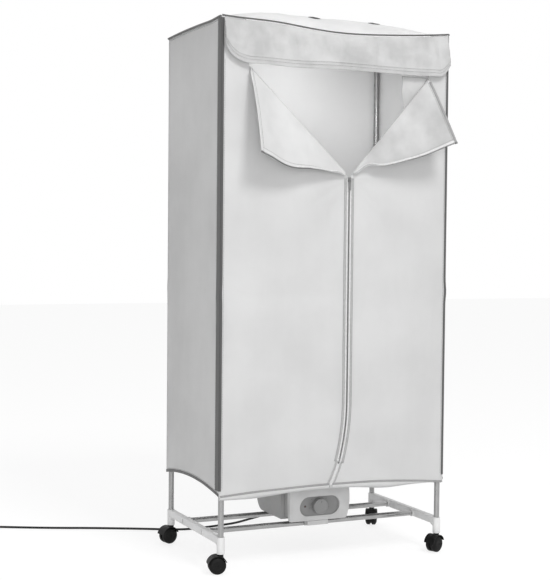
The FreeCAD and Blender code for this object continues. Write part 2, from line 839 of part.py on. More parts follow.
def fan_impeller():
    """The axial fan wheel."""
    hub = rod(fan_hub_r, V(0, fan_y, fan_z), Z_AXIS, fan_height)
    wheel = fuse([hub] + [fan_blade(i) for i in range(blade_count)])
    sweep = rod(fan_r, V(0, fan_y, fan_z), Z_AXIS, fan_height)
    bore = rod(motor_shaft_d / 2 + 0.05, V(0, fan_y, fan_z - 1), Z_AXIS, fan_height - 2)
    return wheel.common(sweep).cut(bore)


def element_frame():
    """The plate that carries the heating element above the fan."""
    inner = unit_half_width - unit_wall - seam_gap
    y0, y1 = fan_y - element_depth / 2 - 6, fan_y + element_depth / 2 + 6
    plate = block(-inner, inner, y0, y1, element_z, element_z + element_frame_t)
    w, d = element_width / 2 - 6, element_depth / 2 - 6
    return plate.cut(block(-w, w, fan_y - d, fan_y + d, element_z - 1, element_z + element_frame_t + 1))


def heating_element():
    """The finned ceramic heater: two rails and a row of fins."""
    z0 = element_z + element_frame_t
    z1 = z0 + element_height
    w, d = element_width / 2, element_depth / 2
    rails = [block(-w, w, fan_y + s * d - 3, fan_y + s * d + 3, z0, z1) for s in (-1, 1)]
    step = element_width / element_fins
    fins = [
        block(-w + (i + 0.5) * step - 0.6, -w + (i + 0.5) * step + 0.6, fan_y - d, fan_y + d, z0, z1)
        for i in range(element_fins)
    ]
    return fuse(rails + fins)


def rail_saddle(end):
    """The clip under the unit that snaps over a base rail."""
    y = end * rail_pitch / 2
    half = saddle_width / 2
    body = block(-half, half, y - saddle_depth / 2, y + saddle_depth / 2, saddle_bottom, unit_bottom)
    lower = [e for e in body.Edges if abs(e.BoundBox.ZMax - saddle_bottom) < 1e-6 and e.BoundBox.XLength > 1]
    body = body.makeFillet(5.0, lower)
    if end == FRONT:
        lip_bottom = saddle_bottom + front_saddle_step
        lip_front = y - saddle_depth / 2 - front_saddle_lip
        lip = block(-half, half, lip_front, y, lip_bottom, fascia_bottom - fascia_gap)
        neck_foot = fascia_bottom - fascia_gap - 1
        under_neck = block(-half, half, neck_front, unit_front, neck_foot, unit_bottom + neck_inset)
        body = fuse([body, lip, under_neck])
    body = body.cut(rod(socket_r, V(-half - 1, y, rail_z), X_AXIS, saddle_width + 2))
    mouth = saddle_mouth / 2
    return body.cut(block(-half - 1, half + 1, y - mouth, y + mouth, saddle_bottom - 1, rail_z))


def cord_gland():
    """The tapered sleeve where the lead leaves the unit."""
    start = V(gland_x, unit_back, gland_z)
    cone = Part.makeCone(gland_root_d / 2, cord_d / 2 + 1.2, gland_length, start, Y_AXIS)
    root = rod(gland_root_d / 2 - 2 - press_slip, start - Y_AXIS * 2 * unit_wall, Y_AXIS, 2 * unit_wall + 1)
    return fuse([cone, root])


# ---- Mains lead --------------------------------------------------------------------------------
def rounded_path(points):
    """Straight runs joined by tangent arcs, each as large as its two runs allow, and the radii."""
    places = [V(*p) for p in points]
    edges, radii, start = [], [], places[0]
    for before, corner, after in zip(places, places[1:], places[2:]):
        into, out = (corner - before), (after - corner)
        cut = run_share * min(into.Length, out.Length)
        into.normalize()
        out.normalize()
        turn = into.getAngle(out)
        a, b = corner - into * cut, corner + out * cut
        radius = cut / math.tan(turn / 2)
        bisector = out - into
        bisector.normalize()
        centre = corner + bisector * (radius / math.cos(turn / 2))
        edges.append(line(start, a))
        edges.append(arc(a, centre - bisector * radius, b))
        radii.append(radius)
        start = b
    edges.append(line(start, places[-1]))
    return Part.Wire(edges), radii


def biarc(p0, t0, p1, t1):
    """Two arcs that leave p0 along t0 and reach p1 along t1."""
    v = p1 - p0
    t = t0 + t1
    a = 2 * (1 - t0.dot(t1))
    b = 2 * v.dot(t)
    c = v.dot(v)
    d = c / b if abs(a) < 1e-9 else (-b + math.sqrt(b * b + 4 * a * c)) / (2 * a)
    joint = (p0 + p1 + (t0 - t1) * d) * 0.5
    return [tangent_arc(p0, t0, joint, 1), tangent_arc(p1, t1 * -1, joint, -1)]


def tangent_arc(p, tangent, q, order):
    """The arc from p to q that leaves p along tangent, as an edge that runs p to q, or q to p."""
    chord = q - p
    across = chord - tangent * chord.dot(tangent)
    a, b = (p, q) if order > 0 else (q, p)
    if across.Length < 1e-7:
        return line(a, b)
    across.normalize()
    radius = chord.dot(chord) / (2 * chord.dot(across))
    centre = p + across * radius
    middle = (p + q) * 0.5 - centre
    middle.normalize()
    return arc(a, centre + middle * abs(radius), b)


def coil_state(turn):
    """Centre of the lead and its direction after a number of turns of the coil."""
    half = coil_turns / 2
    inward = turn if turn <= half else coil_turns - turn
    radius = coil_radius + coil_pitch * (half / 2 - inward)
    climb = min(max((turn - half + 0.25) / 0.5, 0.0), 1.0)
    height = cord_z + coil_layer * (3 * climb**2 - 2 * climb**3)
    angle = coil_start_angle() - 2 * math.pi * turn
    return V(
        coil_centre().x + radius * math.cos(angle),
        coil_centre().y + radius * math.sin(angle),
        height,
    )


def coil_heading():
    """Direction of the lead where it reaches the coil."""
    heading = V(*cord_route[-1]) - V(*cord_route[-2])
    heading.z = 0
    heading.normalize()
    return heading


def coil_start_angle():
    """Where on the coil the lead joins it, seen from the coil's centre."""
    heading = coil_heading()
    return math.atan2(heading.x, -heading.y)


def coil_outer():
    """Radius of the coil's outermost turn."""
    return coil_radius + coil_pitch * coil_turns / 4


def coil_centre():
    """Centre of the coil, beside the end of the free stretch."""
    a = coil_start_angle()
    end = V(*cord_route[-1]) + coil_heading() * coil_lead
    return V(end.x - coil_outer() * math.cos(a), end.y - coil_outer() * math.sin(a), cord_z)


def coil_points():
    """Quarter-turn stations of the coil, from the free stretch to the tail."""
    count = int(round(coil_turns * 4))
    return [coil_state(coil_turns * i / count) for i in range(count + 1)]


def coil_direction(turn):
    """Direction of the lead at a place in the coil."""
    step = 1e-4
    d = coil_state(turn + step) - coil_state(turn - step)
    d.normalize()
    return d


def cord_coil():
    """The put-away length of the lead, wound in two layers."""
    points = coil_points()
    turns = [coil_turns * i / (len(points) - 1) for i in range(len(points))]
    tangents = [coil_direction(t) for t in turns]
    tangents[0] = coil_heading()
    edges = [line(V(*cord_route[-1]), points[0])]
    for i in range(len(points) - 1):
        edges += biarc(points[i], tangents[i], points[i + 1], tangents[i + 1])
    edges.append(line(points[-1], points[-1] + tangents[-1] * coil_tail))
    return sweep(Part.Wire(edges)), points[-1] + tangents[-1] * coil_tail, tangents[-1]


def sweep(path):
    """The lead's round section along a path."""
    start = path.Edges[0].valueAt(path.Edges[0].FirstParameter)
    along = path.Edges[0].tangentAt(path.Edges[0].FirstParameter)
    ring = Part.Wire([Part.Circle(start, along, cord_d / 2).toShape()])
    return path.makePipeShell([ring], True, False)


def coil_least_gap():
    """Smallest distance between two passes of the coil, less the lead's own diameter."""
    steps = 180
    places = [coil_state(coil_turns * i / (steps * coil_turns)) for i in range(int(steps * coil_turns))]
    least = 1e9
    for i, p in enumerate(places):
        for q in places[i + steps // 3:]:
            least = min(least, (p - q).Length)
    return least - cord_d


def power_plug(end, direction):
    """A round two-pin plug with a neck, lying on the floor beside the coil."""
    neck = Part.makeCone(cord_d / 2 + 1.0, plug_neck_d / 2, plug_neck_length, ORIGIN, X_AXIS)
    body = rod(plug_body_d / 2, X_AXIS * plug_neck_length, X_AXIS, plug_body_length)
    side_cut = plug_body_d / 2 * 0.62
    for s in (-1, 1):
        y0, y1 = sorted((s * side_cut, s * plug_body_d))
        body = body.cut(block(0, 200, y0, y1, -50, 50))
    rims = [e for e in body.Edges if e.BoundBox.XLength < 1e-6]
    body = body.makeFillet(2.0, rims)
    face = plug_neck_length + plug_body_length
    shape = fuse([neck, body])
    pins = []
    for s in (-1, 1):
        start = V(face, 0, s * plug_pin_pitch / 2)
        root = rod(plug_pin_root_d / 2, start - X_AXIS * plug_pin_root, X_AXIS, plug_pin_root + 1)
        pins.append(fuse([rod(plug_pin_d / 2, start, X_AXIS, plug_pin_length), root]))
    shape = shape.cut(Part.makeCompound(pins))
    solids = [shape] + pins
    angle = math.degrees(math.atan2(direction.y, direction.x))
    placed = []
    for solid in solids:
        turned = solid.copy()
        turned.rotate(ORIGIN, X_AXIS, 90)
        turned.rotate(ORIGIN, Z_AXIS, angle)
        turned.translate(end)
        placed.append(turned)
    return placed


# ---- Cloth cover -------------------------------------------------------------------------------
def roof_edge_z(x, rise):
    """Height of the roof's front or back edge at a place across."""
    return cover_top + arch_height(x, cover_x, rise)


def roof_crown_z(x):
    """Height of the roof along its middle, at a place across."""
    return cover_top + roof_side_crown + (roof_crown - roof_side_crown) * (1 - (x / cover_x) ** 4)


def roof_section(x):
    """The roof's closed section across the cabinet at one place."""
    inner_y = cover_y - cloth - seam_gap
    edges = []
    corners = []
    for drop in (0, cloth):
        front = V(x, front_y(x) + cloth + seam_gap, roof_edge_z(x, -roof_front_sag) - drop)
        top = V(x, 0, roof_crown_z(x) - drop)
        back = V(x, inner_y, roof_edge_z(x, -roof_back_sag) - drop)
        edges.append(arc(front, top, back))
        corners.append((front, back))
    edges.insert(1, line(corners[0][1], corners[1][1]))
    edges.append(line(corners[1][0], corners[0][0]))
    return Part.Wire(Part.__sortEdges__(edges))


def cover_roof():
    """The domed top panel, with its two stitched vents."""
    inner_x = cover_x - cloth - seam_gap
    places = [inner_x * k for k in (-1.0, -0.82, -0.5, 0.0, 0.5, 0.82, 1.0)]
    roof = Part.makeLoft([roof_section(x) for x in places], True, False)
    for x in (vent_x - vent_span / 2, vent_x + vent_span / 2):
        roof = roof.cut(rod(vent_r, V(x, vent_y, cover_top), Z_AXIS, roof_crown + 10))
    return roof


def side_outline(side):
    """A side panel's outline: arched hem below and the roof's end above."""
    x = side * cover_x
    y = cover_y
    low = [V(x, -y, hem_corner), V(x, 0, hem_corner + hem_side_arch), V(x, y, hem_corner)]
    top = [V(x, y, cover_top), V(x, 0, cover_top + roof_side_crown), V(x, -y, cover_top)]
    return [arc(*low), line(low[2], top[0]), arc(*top), line(top[2], low[0])]


def cover_side(side):
    """One side panel."""
    return prism(side_outline(side), V(-side * cloth, 0, 0))


def back_outline(y, inset):
    """The back panel's outline between the side panels."""
    x = cover_x - inset
    low = [V(-x, y, hem_corner), V(0, y, hem_corner + hem_back_arch), V(x, y, hem_corner)]
    top = [V(x, y, cover_top), V(0, y, cover_top - roof_back_sag), V(-x, y, cover_top)]
    return [arc(*low), line(low[2], top[0]), arc(*top), line(top[2], low[0])]


def cover_back():
    """The back panel."""
    inset = cloth + seam_gap
    return prism(back_outline(cover_y - cloth, inset), V(0, cloth, 0))


def bowed_sheet(front_gap, thickness, half, low, high):
    """A sheet with the front panels' gentle outward bow, front_gap in front of them."""
    edge_y = -cover_y - front_gap
    rise = front_bow
    outer = [V(-half, edge_y, low), V(0, edge_y - rise, low), V(half, edge_y, low)]
    inner = [p + Y_AXIS * thickness for p in outer]
    edges = [
        arc(*outer),
        line(outer[2], inner[2]),
        arc(inner[2], inner[1], inner[0]),
        line(inner[0], outer[0]),
    ]
    return prism(edges, V(0, 0, high - low))


def front_y(x):
    """The outside of the front cloth at a place across."""
    return -cover_y - arch_height(x, cover_x, front_bow)


def zip_line(offset):
    """The zip's path from the hem to its top, moved sideways by offset."""
    y = -cover_y
    centre = zip_x - zip_bend_r
    radius = zip_bend_r + offset
    sweep_angle = math.asin((zip_bend - front_hem + hem_band) / zip_bend_r)
    place = [
        V(centre + radius * math.cos(a), y, zip_bend - radius * math.sin(a))
        for a in (sweep_angle, sweep_angle / 2, 0)
    ]
    return [arc(*place), line(place[2], V(zip_x + offset, y, zip_top))]


def zip_strip(from_offset, to_offset, low, front_gap, thickness):
    """A strip that follows the zip between two offsets, above a height."""
    a, b = zip_line(from_offset), zip_line(to_offset)
    ends = [
        line(a[0].firstVertex().Point, b[0].firstVertex().Point),
        line(a[1].lastVertex().Point, b[1].lastVertex().Point),
    ]
    sheet = bowed_sheet(front_gap, thickness, cover_x, low, zip_top)
    return sheet.common(through_front(a + b + ends))


def front_panel(side):
    """One front panel, beside the zip and below the folded-back flap."""
    x = side * (cover_x - cloth - seam_gap)
    y = -cover_y
    seam = zip_line(side * zip_room)
    foot_of_seam = seam[0].firstVertex().Point
    corner = opening_left if side == LEFT else opening_right
    head = head_left if side == LEFT else head_right
    around = [
        V(zip_x + side * zip_room, y, zip_top),
        V(corner[0], y, corner[1]),
        V(head, y, cover_top + cloth),
        V(x, y, cover_top + cloth),
        V(x, y, foot_of_seam.z),
        foot_of_seam,
    ]
    edges = seam + [line(a, b) for a, b in zip(around, around[1:])]
    return front_sheet().common(through_front(edges))


def front_sheet():
    """The whole bowed front, hem to roof, before it is divided."""
    sheet = bowed_sheet(0, cloth, cover_x, front_hem - hem_band, cover_top + cloth)
    return sheet.common(through_front(front_outline(-cover_y)))


def through_front(edges):
    """The outline pushed right through the bowed front."""
    solid = Part.Face(Part.Wire(Part.__sortEdges__(edges))).extrude(V(0, 6 * front_bow, 0))
    solid.translate(V(0, -3 * front_bow, 0))
    return solid


def head_edge_x(side, z):
    """Where a front panel's edge runs beside the opening's head."""
    corner = opening_left if side == LEFT else opening_right
    head = head_left if side == LEFT else head_right
    share = (z - corner[1]) / (cover_top + cloth - corner[1])
    return corner[0] + (head - corner[0]) * share


def cover_header():
    """The band across the top of the opening, which the valance is sewn to."""
    y = -cover_y
    low = cover_top - roof_front_sag - header_height
    high = cover_top + cloth
    points = [
        V(head_edge_x(LEFT, low) + seam_gap, y, low),
        V(head_edge_x(RIGHT, low) - seam_gap, y, low),
        V(head_edge_x(RIGHT, high) - seam_gap, y, high),
        V(head_edge_x(LEFT, high) + seam_gap, y, high),
    ]
    return front_sheet().common(through_front(polygon(points)))


def front_outline(y):
    """The whole front's outline: arched hem below and the roof's sagging edge above."""
    x = cover_x
    low = [V(-x, y, front_hem), V(0, y, front_hem + hem_front_arch), V(x, y, front_hem)]
    top = [V(x, y, cover_top), V(0, y, cover_top - roof_front_sag), V(-x, y, cover_top)]
    return [arc(*low), line(low[2], top[0]), arc(*top), line(top[2], low[0])]


def valance_section(x):
    """The valance's closed section at a place across."""
    half = (valance_span[1] - valance_span[0]) / 2
    middle = (valance_span[1] + valance_span[0]) / 2
    end = 0 if x < middle else 1
    edge = max(abs(x - middle) - (half - valance_corner[end]), 0) / valance_corner[end]
    rise = valance_corner_rise[end] * edge**2
    wave = valance_wave * math.sin((x - middle) / half * 3.5 * math.pi)
    z_top = roof_edge_z(x, -roof_front_sag) - valance_top_drop
    z_low = valance_bottom + rise
    y_top = front_y(x) - valance_gap - cloth
    y_low = y_top - valance_stand + wave
    outer = [
        V(x, y_top, z_top),
        V(x, (y_top + y_low) / 2 - valance_bow - wave, (z_top + z_low) / 2),
        V(x, y_low, z_low),
    ]
    inner = [p + Y_AXIS * cloth for p in outer]
    edges = [
        arc(*outer),
        line(outer[2], inner[2]),
        arc(inner[2], inner[1], inner[0]),
        line(inner[0], outer[0]),
    ]
    return Part.Wire(edges)


def cover_valance():
    """The pelmet over the opening, with its folds and rounded lower corners."""
    (a, b), (left, right) = valance_span, valance_corner
    inside = [a + left + (b - a - left - right) * k / 12 for k in range(13)]
    steps = (0.25, 0.5, 0.75)
    places = [a] + [a + left * k for k in steps] + inside
    places += [b - right * k for k in reversed(steps)] + [b]
    return Part.makeLoft([valance_section(x) for x in places], True, False)


def flap_corners(side):
    """The fold's two ends and the free tip of one flap."""
    corner = opening_left if side == LEFT else opening_right
    tip = flap_left_tip if side == LEFT else flap_right_tip
    stand = V(0, -flap_gap[0 if side == LEFT else 1], 0)
    head = V(corner[0], front_y(corner[0]), corner[1]) + stand
    foot_end = V(zip_x, front_y(zip_x), zip_top) + stand
    return head, foot_end, V(*tip)


def flap_section(side, share):
    """The flap's closed section at a share of the way down its fold."""
    head, foot_end, tip = flap_corners(side)
    fold, free = foot_end - head, foot_end - tip
    face = (tip - head).cross(fold)
    face.normalize()
    if face.y > 0:
        face = face * -1
    start = head + fold * (share * (1 - flap_root / fold.Length))
    end = tip + free * (share * (1 - flap_root / free.Length))
    bulge = flap_bow * math.cos(3.2 * math.pi * share) * (1.05 - share)
    middle = (start + end) * 0.5 + face * bulge
    near = [start, middle, end]
    far = [p + face * cloth for p in near]
    edges = [
        arc(*near),
        line(near[2], far[2]),
        arc(far[2], far[1], far[0]),
        line(far[0], near[0]),
    ]
    return Part.Wire(edges)


def cover_flap(side):
    """One flap, folded out beside the opening."""
    return Part.makeLoft([flap_section(side, k / 6) for k in range(7)], True, False)


# ---- Zip and trims -----------------------------------------------------------------------------
def zip_track():
    """The two tapes and the closed chain below the opening."""
    near = zip_half + seam_gap
    far = near + zip_tape
    tape_gap = seam_gap + zip_tape_t
    chain = zip_strip(-zip_half, zip_half, zip_bottom, tape_gap + zip_chain_proud, zip_chain_t)
    left = zip_strip(-far, -near, zip_bottom, tape_gap, zip_tape_t)
    right = zip_strip(near, far, zip_bottom, tape_gap, zip_tape_t)
    return [chain, left, right]


def slider_back():
    """Where the slider's back face runs, just clear of the chain."""
    return front_y(zip_x) - seam_gap - zip_tape_t - zip_chain_proud - slider_gap


def zip_slider():
    """The slider, with the bail that holds its pull."""
    y = slider_back()
    half = slider_width / 2
    plate = block(zip_x - half, zip_x + half, y - slider_t, y, zip_top - slider_height, zip_top)
    short = [e for e in plate.Edges if abs(e.Length - slider_t) < 1e-6]
    plate = plate.makeFillet(2.5, short)
    centre = V(zip_x - bail_t / 2, y - slider_t, zip_top - slider_height / 2)
    bail = rod(bail_r + bail_t, centre, X_AXIS, bail_t).cut(rod(bail_r, centre, X_AXIS, bail_t))
    bail = bail.cut(block(zip_x - half, zip_x + half, y - slider_t, y + 9, zip_top - slider_height, zip_top))
    return fuse([plate, bail])


def pull_pivot():
    """The pull's turning axis, inside the bail."""
    return V(zip_x, slider_back() - slider_t - bail_r + pull_bar / 2 + 0.2, zip_top - slider_height / 2)


def zip_pull():
    """The pull tab: a flat drop with an eye that hangs on the bail."""
    pivot = pull_pivot()
    bar = rod(pull_bar / 2, pivot - X_AXIS * pull_width / 2, X_AXIS, pull_width)
    y0, y1 = pivot.y - pull_t / 2, pivot.y + pull_t / 2
    arms = []
    for s in (-1, 1):
        x0, x1 = sorted((zip_x + s * pull_width / 2, zip_x + s * (pull_width / 2 - pull_arm)))
        arms.append(block(x0, x1, y0, y1, pivot.z - pull_eye, pivot.z))
    half = pull_width / 2
    foot = pivot.z - pull_length
    tab = block(zip_x - half, zip_x + half, y0, y1, foot, pivot.z - pull_eye)
    upright = [e for e in tab.Edges if abs(e.Length - pull_t) < 1e-6]
    corners = [e for e in upright if e.BoundBox.ZMax < foot + 0.1]
    tab = tab.makeFillet(half - 0.2, corners)
    return fuse([bar] + arms + [tab])


def hem_trim(edges, direction):
    """The bound strip along a hem, from the panel's own outline."""
    slab = prism(edges, direction)
    return slab.cut(slab.translated(Z_AXIS * hem_band))


def corner_trim(side):
    """The binding down a front vertical corner."""
    x = side * cover_x
    t = binding_thickness
    y = -cover_y
    out = x + side * (seam_gap + t)
    face = x + side * seam_gap
    front = y - seam_gap
    inner = x - side * binding_front
    points = [
        V(out, front - t, 0),
        V(out, y + binding_side, 0),
        V(face, y + binding_side, 0),
        V(face, front, 0),
        V(inner, front_y(abs(inner)) - seam_gap, 0),
        V(inner, front_y(abs(inner)) - seam_gap - t, 0),
    ]
    low = hem_corner + 2 * hem_band
    strip = prism(polygon(points), V(0, 0, cover_top - piping_r - low))
    strip.translate(V(0, 0, low))
    return strip


def piping(points):
    """Round piping along an arc."""
    path = Part.Wire([arc(*points)])
    edge = path.Edges[0]
    along = edge.tangentAt(edge.FirstParameter)
    ring = Part.Wire([Part.Circle(points[0], along, piping_r).toShape()])
    return path.makePipeShell([ring], True, False)


def cover_binding():
    """Dark trims: front corners, roof piping and hems."""
    solids = [corner_trim(LEFT), corner_trim(RIGHT)]
    x = cover_x + seam_gap + piping_r
    y = cover_y + seam_gap + piping_r
    z = cover_top
    room = 2 * piping_r
    for s in (LEFT, RIGHT):
        crown = V(s * x, 0, z + roof_side_crown)
        solids.append(piping([V(s * x, -y + room, z), crown, V(s * x, y - room, z)]))
        hem = hem_trim(side_outline(s), V(s * binding_thickness, 0, 0))
        solids.append(hem.translated(V(s * seam_gap, 0, 0)))
    solids.append(piping([V(-x, y, z), V(0, y, z - roof_back_sag), V(x, y, z)]))
    back = back_outline(cover_y, 0)
    solids.append(hem_trim(back, V(0, binding_thickness, 0)).translated(V(0, seam_gap, 0)))
    return solids


# ---- The whole cabinet -------------------------------------------------------------------------
def casters():
    """Each caster's hood with its stem, and its two wheels on their axle."""
    for name in CORNERS:
        hood = [place_caster(s, name) for s in (caster_hood(), caster_stem())]
        save("caster_hood_" + name, *hood)
        rolling = [caster_wheel(LEFT), caster_wheel(RIGHT), caster_axle()]
        save("caster_wheels_" + name, *[place_caster(s, name) for s in rolling])


def frame():
    """Feet, base rails, posts and the top frame."""
    for side, label in ((LEFT, "left"), (RIGHT, "right")):
        save("foot_" + label, foot(side))
        save("top_side_rail_" + label, top_side_rail(side))
    for end, label in ((FRONT, "front"), (BACK, "rear")):
        save("base_rail_" + label, base_rail(end))
        save("hanging_rail_" + label, hanging_rail(end))
    for name, (side, end) in CORNERS.items():
        save("post_lower_" + name, lower_post(side, end))
        save("post_upper_" + name, upper_post(side, end))
    ends = [(side, end) for side in (LEFT, RIGHT) for end in (FRONT, BACK)]
    save("post_joiners", *[post_joiner(*e) for e in ends])
    save("top_corners", *[top_corner(*e) for e in ends])
    save("rail_tees", *[rail_tee(*e) for e in ends])
    save("rail_fasteners", *[piece(*e) for e in ends for piece in (rail_plug, rail_screw)])


def warm_air_unit():
    """The housing and everything in it."""
    save("heater_base", heater_base())
    save("heater_cover", heater_cover())
    save("control_fascia", control_fascia())
    save("dial_plate", dial_plate(), power_lamp())
    save("timer_knob", timer_knob(), timer_shaft())
    save("timer_switch", timer_switch())
    save("motor_bracket", motor_bracket())
    save("fan_motor", fan_motor())
    save("fan_impeller", fan_impeller())
    save("element_frame", element_frame())
    save("heating_element", heating_element())
    save("rail_saddles", rail_saddle(FRONT), rail_saddle(BACK))
    save("unit_screws", *[unit_screw(p) for p in unit_corners()])
    save("cord_gland", cord_gland())


def mains_lead():
    """The lead, its put-away coil and the plug."""
    path, radii = rounded_path(cord_route)
    free = sweep(path)
    coil, end, direction = cord_coil()
    print("lead radii:", [round(r, 1) for r in radii])
    section = math.pi * cord_d**2 / 4
    print("lead volume against section times length:", round(free.Volume / (section * path.Length), 4))
    print("free stretch %.0f, coil %.0f mm" % (path.Length, coil.Volume / section))
    print("coil's least gap: %.2f mm" % coil_least_gap())
    save("power_cord", free)
    save("power_cord_coil", coil)
    save("power_plug", *power_plug(end, direction))


def cover():
    """The cloth cover, its zip and its trims."""
    save("cover_roof", cover_roof())
    save("cover_left", cover_side(LEFT))
    save("cover_right", cover_side(RIGHT))
    save("cover_back", cover_back())
    save("cover_front_left", front_panel(LEFT))
    save("cover_front_right", front_panel(RIGHT))
    save("cover_header", cover_header())
    save("cover_valance", cover_valance())
    save("cover_flap_left", cover_flap(LEFT))
    save("cover_flap_right", cover_flap(RIGHT))
    save("zip_track", *zip_track())
    save("zip_slider", zip_slider())
    save("zip_pull", zip_pull())
    save("cover_binding", *cover_binding())


os.makedirs("parts", exist_ok=True)
frame()
casters()
warm_air_unit()
mains_lead()
cover()
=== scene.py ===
"""Looks of the fabric drying cabinet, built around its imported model.

Metres. +X is to the right of a person facing the zip, +Y is to the back, +Z is up, and the
origin is on the floor midway between the four posts.
"""

import logging
import math
import random
from dataclasses import dataclass, field
from enum import Enum
from typing import Callable, Iterable, Sequence

import bpy
from mathutils import Matrix, Vector, noise


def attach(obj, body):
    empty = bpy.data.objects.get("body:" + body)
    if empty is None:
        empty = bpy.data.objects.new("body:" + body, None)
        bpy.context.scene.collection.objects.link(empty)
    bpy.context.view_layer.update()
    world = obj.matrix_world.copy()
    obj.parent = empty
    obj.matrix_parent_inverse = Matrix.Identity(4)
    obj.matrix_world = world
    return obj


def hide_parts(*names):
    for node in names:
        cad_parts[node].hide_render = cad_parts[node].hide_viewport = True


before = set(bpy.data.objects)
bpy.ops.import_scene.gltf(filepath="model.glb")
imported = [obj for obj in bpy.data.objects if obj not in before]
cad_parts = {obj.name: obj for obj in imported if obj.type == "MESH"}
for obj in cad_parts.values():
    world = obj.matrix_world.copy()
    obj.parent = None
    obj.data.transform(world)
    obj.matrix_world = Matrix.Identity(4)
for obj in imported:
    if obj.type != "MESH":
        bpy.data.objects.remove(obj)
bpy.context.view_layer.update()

LOG = logging.getLogger("drying_cabinet")
MM = 0.001
Point = Sequence[float]
Faces = list[tuple[int, ...]]
Mesh = tuple[list[Vector], Faces]


class Body(str, Enum):
    """The rigid bodies that pieces ride on."""

    CABINET = "cabinet"
    VALANCE = "valance"
    FLAP_LEFT = "flap_left"
    FLAP_RIGHT = "flap_right"
    KNOB = "knob"


class Slot(str, Enum):
    """The record's material slots."""

    FRONT = "front_cloth"
    INNER = "inner_cloth"
    BINDING = "dark_binding"
    ZIP = "zip_plastic"
    ZIP_METAL = "zip_metal"
    WHITE = "white_plastic"
    BLACK = "black_plastic"
    POST = "post_steel"
    CHROME = "rail_chrome"
    STEEL = "steel"
    GREY = "grey_plastic"
    MID_GREY = "mid_grey_plastic"
    DARK_GREY = "dark_grey_plastic"
    MOTOR = "motor_metal"
    CERAMIC = "ceramic"
    LEAD = "black_lead"


class Side(float, Enum):
    """Left or right, as the sign of X."""

    LEFT = -1.0
    RIGHT = 1.0


